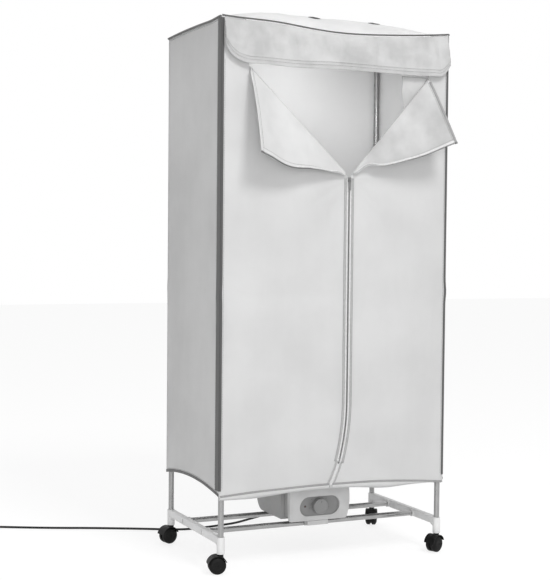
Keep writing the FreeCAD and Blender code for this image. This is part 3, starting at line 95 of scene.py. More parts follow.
# ---- Finishes ----------------------------------------------------------------------------------
class Graph:
    """A short way to write a material's nodes."""

    def __init__(self, name: str) -> None:
        """Start an empty material with a Principled shader.

        Args:
            name: The material's name.
        """
        self.material = bpy.data.materials.new(name)
        self.material.use_nodes = True
        self.tree = self.material.node_tree
        self.tree.nodes.clear()
        self.output = self.node("ShaderNodeOutputMaterial")
        self.shader = self.node("ShaderNodeBsdfPrincipled")
        self.link(self.shader.outputs[0], self.output.inputs["Surface"])
        self.where = self.node("ShaderNodeTexCoord").outputs["Object"]

    def node(self, kind: str, **inputs: object) -> bpy.types.Node:
        """Add a node and set or link its inputs.

        Args:
            kind: The node's type name.
            inputs: Input names, with underscores for spaces, and their values or sockets.

        Returns:
            The new node.
        """
        made = self.tree.nodes.new(kind)
        for key, value in inputs.items():
            self.feed(made.inputs[key.replace("_", " ")], value)
        return made

    def feed(self, socket: bpy.types.NodeSocket, value: object) -> None:
        """Link a socket, or set its constant.

        Args:
            socket: The input socket.
            value: Another node's output, or a constant.
        """
        if isinstance(value, bpy.types.NodeSocket):
            self.link(value, socket)
        else:
            socket.default_value = value

    def link(self, source: bpy.types.NodeSocket, target: bpy.types.NodeSocket) -> None:
        """Join two sockets."""
        self.tree.links.new(source, target)

    def noise(self, scale: float, detail: float = 4.0, stretch: Point = (1, 1, 1)) -> bpy.types.NodeSocket:
        """A noise value, optionally stretched along the axes.

        Args:
            scale: Features per metre.
            detail: Octaves.
            stretch: Scale along each axis.

        Returns:
            The noise value's socket.
        """
        mapped = self.node("ShaderNodeMapping", Vector=self.where, Scale=tuple(stretch))
        made = self.node("ShaderNodeTexNoise", Vector=mapped.outputs[0], Scale=scale, Detail=detail)
        return made.outputs[0]

    def bands(self, axis: str, period: float) -> bpy.types.NodeSocket:
        """Sine bands across an axis.

        Args:
            axis: X, Y or Z.
            period: Metres from one band to the next.

        Returns:
            The wave's value socket.
        """
        made = self.node("ShaderNodeTexWave", Vector=self.where, Scale=math.pi / (10 * period))
        made.bands_direction = axis
        return made.outputs["Fac"]

    def blend(self, share: object, low: Point, high: Point) -> bpy.types.NodeSocket:
        """Mix two colours.

        Args:
            share: A socket or constant from 0 to 1.
            low: Colour at 0.
            high: Colour at 1.

        Returns:
            The mixed colour's socket.
        """
        made = self.tree.nodes.new("ShaderNodeMix")
        made.data_type = "RGBA"
        self.feed(made.inputs[0], share)
        self.feed(made.inputs[6], low)
        self.feed(made.inputs[7], high)
        return made.outputs[2]

    def spread(
        self, value: object, low: float, high: float, a: float = 0.0, b: float = 1.0
    ) -> bpy.types.NodeSocket:
        """Map a value's range low..high to a..b, clamped."""
        made = self.tree.nodes.new("ShaderNodeMapRange")
        for socket, number in zip(made.inputs[:5], (value, low, high, a, b)):
            self.feed(socket, number)
        return made.outputs[0]

    def math(self, what: str, a: object, b: object = 0.0) -> bpy.types.NodeSocket:
        """One arithmetic step on two values."""
        made = self.tree.nodes.new("ShaderNodeMath")
        made.operation = what
        self.feed(made.inputs[0], a)
        self.feed(made.inputs[1], b)
        return made.outputs[0]

    def bump(self, height: object, distance: float, under: object = None) -> bpy.types.NodeSocket:
        """A bump of the given depth in metres, on top of another normal.

        Args:
            height: The height's socket.
            distance: Metres from the lowest to the highest.
            under: A normal to build on.

        Returns:
            The normal's socket.
        """
        made = self.node("ShaderNodeBump", Height=height, Distance=distance, Strength=1.0)
        if under is not None:
            self.link(under, made.inputs["Normal"])
        return made.outputs[0]

    def rounded(self, radius: float) -> bpy.types.NodeSocket:
        """A normal that rounds sharp edges by a radius in metres."""
        made = self.node("ShaderNodeBevel", Radius=radius)
        made.samples = 4
        return made.outputs[0]

    def let_through(self, share: float, colour: object, normal: object) -> None:
        """Let part of the light pass through the sheet, spread out.

        Args:
            share: How much passes, from 0 to 1.
            colour: The sheet's colour.
            normal: The sheet's bumped normal.
        """
        soft = self.node("ShaderNodeBsdfTranslucent", Color=colour, Normal=normal)
        mixed = self.tree.nodes.new("ShaderNodeMixShader")
        mixed.inputs[0].default_value = share
        self.link(self.shader.outputs[0], mixed.inputs[1])
        self.link(soft.outputs[0], mixed.inputs[2])
        self.link(mixed.outputs[0], self.output.inputs["Surface"])

    def finish(self, **inputs: object) -> bpy.types.Material:
        """Feed the shader and hand the material back."""
        for key, value in inputs.items():
            self.feed(self.shader.inputs[key.replace("_", " ")], value)
        return self.material


def grey(value: float, warm: float = 0.0) -> tuple[float, float, float, float]:
    """A near-neutral linear colour.

    Args:
        value: Its lightness, linear.
        warm: How much red is raised and blue lowered.

    Returns:
        Red, green, blue and alpha.
    """
    return (value * (1 + warm), value, value * (1 - warm), 1.0)


@dataclass(frozen=True)
class ClothFinish:
    """Coated woven cloth."""

    name: str
    light: float
    dark: float
    thread: float = 0.0011
    weave_depth: float = 0.00006
    crinkle_depth: float = 0.0007
    crinkle_scale: float = 26.0
    cloud_scale: float = 5.0
    roughness: float = 0.62
    sheen: float = 0.25
    thin: float = 0.3

    def make(self) -> bpy.types.Material:
        """Build the material.

        Returns:
            A material with weave, soft crinkles and uneven tone.
        """
        g = Graph(self.name)
        cloud = g.noise(self.cloud_scale, 4.0)
        streak = g.noise(14.0, 4.0, (2.2, 2.2, 0.35))
        tone = g.math("ADD", g.math("MULTIPLY", cloud, 0.85), g.math("MULTIPLY", streak, 0.15))
        colour = g.blend(g.spread(tone, 0.36, 0.62), grey(self.dark), grey(self.light))
        weave = g.math("ADD", g.bands("X", self.thread), g.bands("Z", self.thread))
        weave = g.math("ADD", weave, g.bands("Y", self.thread))
        normal = g.bump(g.noise(self.crinkle_scale, 5.0), self.crinkle_depth)
        normal = g.bump(weave, self.weave_depth, normal)
        rough = g.spread(g.noise(60.0, 2.0), 0.3, 0.7, self.roughness - 0.06, self.roughness + 0.06)
        g.let_through(self.thin, colour, normal)
        return g.finish(
            Base_Color=colour,
            Roughness=rough,
            Normal=normal,
            Sheen_Weight=self.sheen,
            Sheen_Roughness=0.4,
        )


@dataclass(frozen=True)
class WebbingFinish:
    """Ribbed tape and binding."""

    name: str
    tone: float
    rib: float = 0.0016
    roughness: float = 0.75

    def make(self) -> bpy.types.Material:
        """Build the material: diagonal ribs, loose fibres and uneven dye.

        Returns:
            The material.
        """
        g = Graph(self.name)
        colour = g.blend(g.noise(300.0, 3.0), grey(self.tone * 0.7), grey(self.tone * 1.25))
        ribs = g.math("ADD", g.bands("X", self.rib), g.bands("Z", self.rib * 0.7))
        normal = g.bump(g.math("ADD", ribs, g.bands("Y", self.rib)), 0.00015)
        return g.finish(Base_Color=colour, Roughness=self.roughness, Normal=normal, Sheen_Weight=0.2)


@dataclass(frozen=True)
class PlasticFinish:
    """Moulded plastic with a fine spark-eroded texture."""

    name: str
    colour: tuple[float, float, float, float]
    roughness: float = 0.4
    grain: float = 0.00002
    edge: float = 0.0006
    coat: float = 0.0
    shine: float = 0.5

    def make(self) -> bpy.types.Material:
        """Build the material: grain, slight tone drift, handling marks and rounded edges.

        Returns:
            The material.
        """
        g = Graph(self.name)
        low = tuple(c * 0.9 for c in self.colour[:3]) + (1.0,)
        colour = g.blend(g.spread(g.noise(18.0, 3.0), 0.35, 0.65), low, self.colour)
        rough = g.spread(g.noise(75.0, 4.0), 0.3, 0.75, self.roughness - 0.05, self.roughness + 0.09)
        normal = g.bump(g.noise(2600.0, 1.0), self.grain, g.rounded(self.edge))
        return g.finish(
            Base_Color=colour,
            Roughness=rough,
            Normal=normal,
            Coat_Weight=self.coat,
            Specular_IOR_Level=self.shine,
        )


@dataclass(frozen=True)
class MetalFinish:
    """Plated, drawn or enamelled steel tube and sheet."""

    name: str
    colour: tuple[float, float, float, float]
    roughness: float
    metallic: float = 1.0
    drawn: float = 0.00001
    speck: float = 0.0

    def make(self) -> bpy.types.Material:
        """Build the material: fine drawing lines, faint smears and specks.

        Returns:
            The material.
        """
        g = Graph(self.name)
        low = tuple(c * (0.86 - self.speck) for c in self.colour[:3]) + (1.0,)
        colour = g.blend(g.spread(g.noise(35.0, 5.0), 0.3, 0.7), low, self.colour)
        smear = g.noise(28.0, 5.0)
        rough = g.spread(smear, 0.3, 0.75, self.roughness * 0.75, self.roughness * 1.5)
        normal = g.bump(g.noise(900.0, 2.0), self.drawn, g.rounded(0.0004))
        return g.finish(Base_Color=colour, Metallic=self.metallic, Roughness=rough, Normal=normal)


@dataclass(frozen=True)
class PlugFinish:
    """Black plug moulding whose pins, beyond its face, are bright metal."""

    name: str
    along: tuple[float, float, float] = (0.970912, -0.239436, 0.0)
    face: float = -0.9018

    def make(self) -> bpy.types.Material:
        """Build the material, with metal where a place lies beyond the plug's face.

        Returns:
            The material.
        """
        g = Graph(self.name)
        dot = g.node("ShaderNodeVectorMath")
        dot.operation = "DOT_PRODUCT"
        g.link(g.where, dot.inputs[0])
        dot.inputs[1].default_value = self.along
        pin = g.spread(dot.outputs["Value"], self.face, self.face + 0.0002)
        tone = g.blend(g.noise(60.0, 3.0), grey(0.014), grey(0.022))
        bright = g.blend(g.noise(90.0, 3.0), grey(0.55), grey(0.68))
        rough = g.spread(g.noise(120.0, 3.0), 0.3, 0.7, 0.26, 0.42)
        normal = g.bump(g.noise(1800.0, 1.0), 0.00002, g.rounded(0.0005))
        return g.finish(Base_Color=g.blend(pin, tone, bright), Metallic=pin, Roughness=rough, Normal=normal)


@dataclass(frozen=True)
class Finishes:
    """Every material of the cabinet, made once."""

    front: bpy.types.Material
    side: bpy.types.Material
    inner: bpy.types.Material
    flap: bpy.types.Material
    flap_shade: bpy.types.Material
    valance: bpy.types.Material
    roof: bpy.types.Material
    hem: bpy.types.Material
    binding: bpy.types.Material
    band: bpy.types.Material
    fold: bpy.types.Material
    zip_band: bpy.types.Material
    tape: bpy.types.Material
    teeth: bpy.types.Material
    thread: bpy.types.Material
    white: bpy.types.Material
    black: bpy.types.Material
    tyre: bpy.types.Material
    post: bpy.types.Material
    chrome: bpy.types.Material
    steel: bpy.types.Material
    fascia: bpy.types.Material
    housing: bpy.types.Material
    dial: bpy.types.Material
    knob: bpy.types.Material
    print: bpy.types.Material
    lamp: bpy.types.Material
    motor: bpy.types.Material
    ceramic: bpy.types.Material
    lead: bpy.types.Material
    dark: bpy.types.Material
    coils: bpy.types.Material
    zip_metal: bpy.types.Material
    plug: bpy.types.Material

    @classmethod
    def build(cls) -> "Finishes":
        """Make all the materials.

        Returns:
            The set of finishes.
        """
        return cls(
            front=ClothFinish("cloth_front", 0.74, 0.69, thin=0.4).make(),
            side=ClothFinish("cloth_side", 0.76, 0.70, thin=0.4).make(),
            # The inside cloth is made much paler than the outside: painted light standing in for the light
            # that comes through the thin cover into the interior.
            inner=ClothFinish("cloth_inner_painted_light", 0.90, 0.87, roughness=0.55, thin=0.12).make(),
            # The flaps show the inside cloth, made darker here than the inside copy: painted shade that dims
            # the folded-out flaps.
            flap=ClothFinish("cloth_flap_painted_shade", 0.64, 0.58, roughness=0.55, cloud_scale=12.0, thin=0.08).make(),
            # A still darker copy of the flap cloth for the right flap and the cuff behind it: painted shade.
            flap_shade=ClothFinish(
                "cloth_flap_shade", 0.55, 0.40, roughness=0.55, cloud_scale=9.0, thin=0.08
            ).make(),
            # The valance is the same cloth made much darker than the front: painted shade that offsets the
            # key lamp on its outward face.
            valance=ClothFinish(
                "cloth_valance_painted_shade", 0.50, 0.39, crinkle_depth=0.0016, cloud_scale=16.0, thin=0.03
            ).make(),
            # The roof is the same cloth made paler than the front: painted light where it faces up to the
            # lamps.
            roof=ClothFinish(
                "cloth_roof_painted_light", 0.88, 0.82, crinkle_depth=0.0012, cloud_scale=9.0, thin=0.4
            ).make(),
            hem=ClothFinish("cloth_hem", 0.72, 0.66, crinkle_depth=0.0005).make(),
            binding=WebbingFinish("binding_dark", 0.10).make(),
            # Very dark for the front corner bands: partly binding, partly painted shade of the cloth curving
            # round the post.
            band=WebbingFinish("corner_binding_painted_shade", 0.075).make(),
            # A grey that paints shade: the shadow along the front hems' fold and the right flap's shaded
            # edge.
            fold=WebbingFinish("grey_painted_shade", 0.30).make(),
            # Grey for the cloth edges beside the zip: partly their own tone, partly painted shadow.
            zip_band=WebbingFinish("zip_band_grey", 0.40).make(),
            tape=WebbingFinish("zip_tape_light", 0.62).make(),
            teeth=PlasticFinish("zip_teeth", grey(0.15), 0.4).make(),
            thread=WebbingFinish("thread_grey", 0.20, rib=0.0004).make(),
            white=PlasticFinish("plastic_white", grey(0.74), 0.38).make(),
            black=PlasticFinish("plastic_black", grey(0.005), 0.45, shine=0.18).make(),
            tyre=PlasticFinish("tyre_black", grey(0.004), 0.55, shine=0.18).make(),
            post=MetalFinish("enamel_post", grey(0.36), 0.28, metallic=0.75).make(),
            chrome=MetalFinish("chrome_rail", grey(0.40), 0.20).make(),
            steel=MetalFinish("zinc_steel", grey(0.52), 0.35).make(),
            fascia=PlasticFinish("plastic_fascia", grey(0.56), 0.34).make(),
            housing=PlasticFinish("plastic_housing", grey(0.35), 0.42).make(),
            dial=PlasticFinish("plastic_dial", grey(0.24), 0.42).make(),
            knob=PlasticFinish("plastic_knob", grey(0.27), 0.36).make(),
            print=PlasticFinish("print_dark", grey(0.07), 0.5).make(),
            lamp=PlasticFinish("lamp_smoked", (0.10, 0.075, 0.07, 1.0), 0.15, coat=0.5).make(),
            motor=MetalFinish("motor_can", grey(0.55), 0.3).make(),
            ceramic=PlasticFinish("ceramic_fins", grey(0.42, 0.06), 0.7).make(),
            lead=PlasticFinish("lead_black", grey(0.006), 0.45, shine=0.3).make(),
            dark=PlasticFinish("plastic_dark", grey(0.05), 0.45).make(),
            coils=MetalFinish("heater_fins", grey(0.55, 0.04), 0.4).make(),
            zip_metal=MetalFinish("zip_metal", grey(0.30), 0.28).make(),
            plug=PlugFinish("plug_black").make(),
        )


# ---- Mesh helpers ------------------------------------------------------------------------------
def piece(
    name: str, points: Iterable[Point], faces: Faces, finish: bpy.types.Material, smooth: bool = True
) -> bpy.types.Object:
    """Make a mesh object.

    Args:
        name: The piece's name.
        points: Vertices in metres.
        faces: Vertex indices of each face.
        finish: Its material.
        smooth: Whether its faces are shaded smooth.

    Returns:
        The new object, linked to the scene.
    """
    mesh = bpy.data.meshes.new(name)
    mesh.from_pydata([tuple(p) for p in points], [], faces)
    mesh.validate()
    if smooth:
        mesh.polygons.foreach_set("use_smooth", [True] * len(mesh.polygons))
    mesh.materials.append(finish)
    made = bpy.data.objects.new(name, mesh)
    bpy.context.scene.collection.objects.link(made)
    LOG.info("made %s", name)
    return made


def grid_faces(columns: int, rows: int) -> Faces:
    """Faces of a grid whose points run row by row.

    Args:
        columns: Points in a row.
        rows: Rows.

    Returns:
        The quads.
    """
    return [
        (r * columns + c, r * columns + c + 1, (r + 1) * columns + c + 1, (r + 1) * columns + c)
        for r in range(rows - 1)
        for c in range(columns - 1)
    ]


def sweep(
    path: Sequence[Vector], profile: Sequence[Point], outward: Callable[[int], Vector], closed: bool = False
) -> Mesh:
    """Carry a closed profile along a path.

    Args:
        path: Points to follow.
        profile: The section's points: first along the surface, then outward.
        outward: The outward direction at a point's index.
        closed: Whether the path ends where it starts.

    Returns:
        Vertices and faces, with capped ends on an open path.
    """
    points: list[Vector] = []
    count, size = len(path), len(profile)
    for i, place in enumerate(path):
        after = path[(i + 1) % count] if closed else path[min(i + 1, count - 1)]
        before = path[i - 1] if closed or i else path[0]
        along = (after - before).normalized()
        out = outward(i).normalized()
        across = along.cross(out).normalized()
        out = across.cross(along)
        points += [place + across * a + out * b for a, b in profile]
    faces: Faces = []
    for i in range(count if closed else count - 1):
        a, b = i * size, ((i + 1) % count) * size
        faces += [(a + j, a + (j + 1) % size, b + (j + 1) % size, b + j) for j in range(size)]
    if not closed:
        faces.append(tuple(reversed(range(size))))
        faces.append(tuple(range((count - 1) * size, count * size)))
    return points, faces


def strip_profile(width: float, thickness: float, crown: float = 0.0) -> list[tuple[float, float]]:
    """The section of a flat tape with softened edges.

    Args:
        width: Across the tape.
        thickness: From the surface outward.
        crown: Extra height at its middle.

    Returns:
        The closed section.
    """
    w, t = width / 2, thickness
    return [
        (-w, 0.0), (-w, t * 0.6), (-w * 0.9, t), (-w * 0.4, t + crown * 0.8), (0.0, t + crown),
        (w * 0.4, t + crown * 0.8), (w * 0.9, t), (w, t * 0.6), (w, 0.0), (0.0, -0.0001),
    ]


def round_profile(radius: float, sides: int = 10) -> list[tuple[float, float]]:
    """The section of a round cord."""
    turn = 2 * math.pi / sides
    return [(radius * math.cos(i * turn), radius * math.sin(i * turn)) for i in range(sides)]


def join(parts: Iterable[tuple[list[Vector], Faces]]) -> Mesh:
    """Several vertex-and-face pairs as one."""
    points: list[Vector] = []
    faces: Faces = []
    for some_points, some_faces in parts:
        start = len(points)
        points += some_points
        faces += [tuple(i + start for i in face) for face in some_faces]
    return points, faces


def bar(centre: Vector, along: Vector, out: Vector, length: float, width: float, height: float) -> Mesh:
    """A small chamfered bar, such as a stitch or a zip tooth.

    Args:
        centre: Its middle.
        along: Direction of its length.
        out: Direction of its height.
        length: Along.
        width: Across.
        height: Out.

    Returns:
        Vertices and faces.
    """
    a = along.normalized()
    o = out.normalized()
    s = a.cross(o).normalized()
    points = []
    for end in (-1, 1):
        for level, narrow in ((0.0, 1.0), (0.65, 1.0), (1.0, 0.55)):
            reach = length / 2 * (1.0 if level < 1 else 0.82)
            for across in (-1, 1):
                points.append(centre + a * end * reach + s * across * width / 2 * narrow + o * height * level)
    faces = [
        (0, 1, 7, 6), (0, 2, 3, 1), (2, 4, 5, 3), (6, 7, 9, 8), (8, 9, 11, 10),
        (0, 6, 8, 2), (2, 8, 10, 4), (1, 3, 9, 7), (3, 5, 11, 9), (4, 10, 11, 5),
    ]
    return points, faces


def resample(path: Sequence[Vector], step: float) -> list[Vector]:
    """Points a fixed distance apart along a path.

    Args:
        path: The path's points.
        step: Metres between the new points.

    Returns:
        The new points.
    """
    made = [path[0].copy()]
    left = step
    for a, b in zip(path, path[1:]):
        length = (b - a).length
        done = 0.0
        while length - done >= left:
            done += left
            made.append(a.lerp(b, done / length))
            left = step
        left -= length - done
    return made


def stitches(path: Sequence[Vector], outward: Callable[[Vector], Vector], step: float = 4.6 * MM) -> Mesh:
    """A row of raised stitches along a path.

    Args:
        path: The seam's line.
        outward: The outward direction at a place.
        step: From one stitch to the next.

    Returns:
        Vertices and faces.
    """
    places = resample(path, step)
    rows = []
    for a, b in zip(places, places[1:]):
        middle = (a + b) / 2
        rows.append(bar(middle, b - a, outward(middle), step * 0.68, 0.7 * MM, 0.45 * MM))
    return join(rows)


def solidify(
    made: bpy.types.Object, thickness: float, offset: float, inner: bpy.types.Material | None = None
) -> None:
    """Give a sheet its thickness, with another finish on its back.

    Args:
        made: The sheet.
        thickness: In metres.
        offset: -1 grows behind the faces, 1 in front.
        inner: The back's finish.
    """
    shell = made.modifiers.new("thickness", "SOLIDIFY")
    shell.thickness = thickness
    shell.offset = offset
    if inner is not None:
        made.data.materials.append(inner)
        shell.material_offset = 1


def ridge(value: float, centre: float, width: float) -> float:
    """A smooth hump, 1 at its centre."""
    return math.exp(-(((value - centre) / width) ** 2))


def rough(x: float, y: float, scale: float, seed: float, octaves: int = 3) -> float:
    """Smooth random height from about -1 to 1.

    Args:
        x: First place.
        y: Second place.
        scale: Features per metre.
        seed: Which pattern.
        octaves: How many layers of detail.

    Returns:
        The height.
    """
    place = Vector((x * scale, y * scale, seed))
    return noise.fractal(place, 1.0, 2.0, octaves, noise_basis="PERLIN_ORIGINAL")


# ---- The cover's shape -------------------------------------------------------------------------
@dataclass(frozen=True)
class CoverShape:
    """Where the cloth cover's surfaces lie, in the same sizes as the solids."""

    half_width: float = 354.0 * MM
    half_depth: float = 209.0 * MM
    top: float = 1509.0 * MM
    hem: float = 212.0 * MM
    side_arch: float = 20.0 * MM
    front_hem: float = 203.0 * MM
    front_arch: float = 11.0 * MM
    back_arch: float = 6.0 * MM
    front_sag: float = 21.0 * MM
    back_sag: float = 4.0 * MM
    side_crown: float = 4.0 * MM
    side_sag: float = 6.0 * MM
    crown: float = 50.0 * MM
    bow: float = 8.0 * MM
    cloth: float = 1.5 * MM
    zip_x: float = 30.0 * MM
    zip_top: float = 1088.0 * MM
    zip_bend: float = 460.0 * MM
    zip_bend_r: float = 647.0 * MM
    zip_bottom: float = 283.0 * MM
    zip_room: float = 3.2 * MM
    opening_left: tuple[float, float] = (-275.0 * MM, 1379.0 * MM)
    opening_right: tuple[float, float] = (286.0 * MM, 1378.0 * MM)
    head_left: float = -292.0 * MM
    head_right: float = 300.0 * MM
    joiner_z: float = 765.0 * MM

    def arch(self, place: float, half_span: float, rise: float) -> float:
        """Height of a circular arch at a place along its span."""
        radius = (half_span**2 + rise**2) / (2 * abs(rise))
        drop = radius - math.sqrt(max(radius**2 - place**2, 0.0))
        return math.copysign(abs(rise) - drop, rise)

    def hem_z(self, x: float) -> float:
        """Height of the front hem at a place across."""
        return self.front_hem + self.arch(x, self.half_width, self.front_arch) + self.hem_lift(x)

    def back_hem(self, x: float) -> float:
        """Height of the back hem at a place across."""
        return self.hem + self.arch(x, self.half_width, self.back_arch)

    def hem_fold(self, x: float) -> float:
        """Height of the stitched line where the front hem's fold ends."""
        low = 5.0 * MM * ridge(x, self.half_width, 0.12)
        return self.front_hem + 8.0 * MM - low + self.arch(x, self.half_width, 14.0 * MM)

    def hem_lift(self, x: float) -> float:
        """How far the front hem waves up and down along its arch."""
        wave = 2.0 * MM * ridge(x, 0.335, 0.05) - 8.0 * MM * ridge(x, 0.15, 0.07)
        return wave - 6.5 * MM * ridge(x, -0.25, 0.075)

    def front_top(self, x: float) -> float:
        """Height of the roof's sagging front edge, fuller on the left."""
        sag = self.arch(x, self.half_width, -self.front_sag)
        return self.top + sag + 8.0 * MM * ridge(x, -0.2, 0.11) - 2.0 * MM * ridge(x, 0.03, 0.1)

    def back_top(self, x: float) -> float:
        """Height of the roof's back edge."""
        return self.top - self.side_sag + self.arch(x, self.half_width, -self.back_sag)

    def side_top(self, y: float) -> float:
        """Height of the roof's left and right edges, which rise to the front corner."""
        sag = self.side_sag * (1 - math.exp(-(((y + self.half_depth) / 0.05) ** 2)))
        return self.top + self.arch(y, self.half_depth, self.side_crown) - sag

    def side_hem(self, y: float) -> float:
        """Height of a side's arched hem."""
        return self.hem + self.arch(y, self.half_depth, self.side_arch)

    def front_y(self, x: float) -> float:
        """The plain bowed front surface."""
        return -self.half_depth - self.arch(x, self.half_width, self.bow)

    def front_relief(self, x: float, z: float) -> float:
        """How far the cloth's folds stand out of the plain front."""
        edge = 1.0 - abs(x / self.half_width) ** 8
        height = (z - self.hem) / (self.top - self.hem)
        crease = -1.7 * MM * ridge(z, self.joiner_z + 0.012 * math.sin(9 * x), 0.016)
        crease += 1.1 * MM * ridge(z, self.joiner_z - 0.04, 0.03)
        drape = 1.5 * MM * rough(x * 2.2, z * 0.55, 2.4, 3.1) + 0.7 * MM * rough(x, z, 7.0, 8.2)
        middle = self.opening_edge(Side.RIGHT, z) + self.opening_edge(Side.LEFT, z)
        side = Side.RIGHT if 2 * x > middle else Side.LEFT
        beside = abs(x - self.opening_edge(side, z))
        pucker = 0.5 * MM * math.sin(2 * math.pi * z / 0.047) * math.exp(-beside / 0.035)
        hem = 1.4 * MM * math.exp(-height * 18) * math.sin(x * 34 + 0.6)
        folds = edge * (crease * (0.35 + 0.65 * ridge(x, -0.3, 0.35)) + drape + hem + self.pull(x, z))
        calm = 1.0 - math.exp(-((beside / 0.03) ** 2))
        return calm * (folds + pucker) + self.joiner_bulge(abs(x) - 0.342, z)

    def joiner_bulge(self, away: float, z: float) -> float:
        """The cloth pushed out where a post joiner lies under it."""
        return 1.6 * MM * ridge(z, self.joiner_z, 0.022) * ridge(away, 0.0, 0.016)

    def pull(self, x: float, z: float) -> float:
        """Folds that fan out from where the flaps meet the zip."""
        dx, dz = x - self.zip_x, z - self.zip_top
        far = math.hypot(dx, dz)
        if far < 1e-6:
            return 0.0
        angle = math.atan2(dz, abs(dx))
        fan = math.sin(angle * 13 + (1.3 if dx > 0 else 0.2))
        return 2.0 * MM * fan * math.exp(-far / 0.17) * min(far / 0.05, 1.0)

    def front(self, x: float, z: float, proud: float = 0.0) -> Vector:
        """A place on the front cloth, proud millimetres outside it."""
        return Vector((x, self.front_y(x) - self.front_relief(x, z) - proud, z))

    def zip_path(self, z: float) -> float:
        """Where the zip's centre runs at a height."""
        if z >= self.zip_bend:
            return self.zip_x
        fall = self.zip_bend - z
        swing = 7.0 * MM * max(0.0, (self.zip_bottom - z) / 0.07) ** 1.5
        return self.zip_x - self.zip_bend_r + math.sqrt(self.zip_bend_r**2 - fall**2) - swing

    def opening_edge(self, side: Side, z: float) -> float:
        """Where a front panel ends at a height: at the zip, the fold or the opening's head."""
        if z <= self.zip_top:
            return self.zip_path(z) + side * self.zip_room
        corner = self.opening_left if side is Side.LEFT else self.opening_right
        head = self.head_left if side is Side.LEFT else self.head_right
        if z <= corner[1]:
            share = (z - self.zip_top) / (corner[1] - self.zip_top)
            return self.zip_x + side * self.zip_room + share * (corner[0] - self.zip_x - side * self.zip_room)
        share = min((z - corner[1]) / (self.top - corner[1]), 1.0)
        return corner[0] + share * (head - corner[0])

    def side(self, side: Side, y: float, z: float, proud: float = 0.0) -> Vector:
        """A place on a side panel."""
        edge = max(0.0, 1.0 - abs(y / self.half_depth) ** 6)
        crease = -2.0 * MM * ridge(z, self.joiner_z + 0.01, 0.02)
        crease += 1.6 * MM * ridge(z, self.joiner_z - 0.032 + 0.06 * y, 0.03)
        drape = 2.6 * MM * rough(y * 1.5, z * 0.5, 3.0, 21.0 + side)
        drape += 0.8 * MM * rough(y, z, 8.0, 31.0 + side)
        bulge = self.joiner_bulge(abs(y) - 0.1975, z)
        return Vector((side * (self.half_width + edge * (crease + drape) + bulge + proud), y, z))

    def roof(self, x: float, share: float) -> Vector:
        """A place on the roof, by its share of the way from front to back."""
        front = Vector((self.front_y(x) + 0.4 * MM, self.front_top(x)))
        back = Vector((self.half_depth - 0.4 * MM, self.back_top(x)))
        y = front.x + share * (back.x - front.x)
        middle = 1 - (x / self.half_width) ** 4
        arch = 1.0 - (2 * share - 1) ** 2
        ends = front.y + share * (back.y - front.y)
        low = self.side_top(max(-self.half_depth, min(self.half_depth, y)))
        lift = self.top + self.crown - (front.y + back.y) / 2
        z = middle * (ends + lift * arch) + (1 - middle) * low
        inside = min(1.0, arch * 3) * min(1.0, (1 - abs(x) / self.half_width) * 8)
        z += inside * (3.2 * MM * rough(x, y, 5.0, 47.0) + 1.2 * MM * rough(x, y, 16.0, 51.0))
        return Vector((x, y, z))


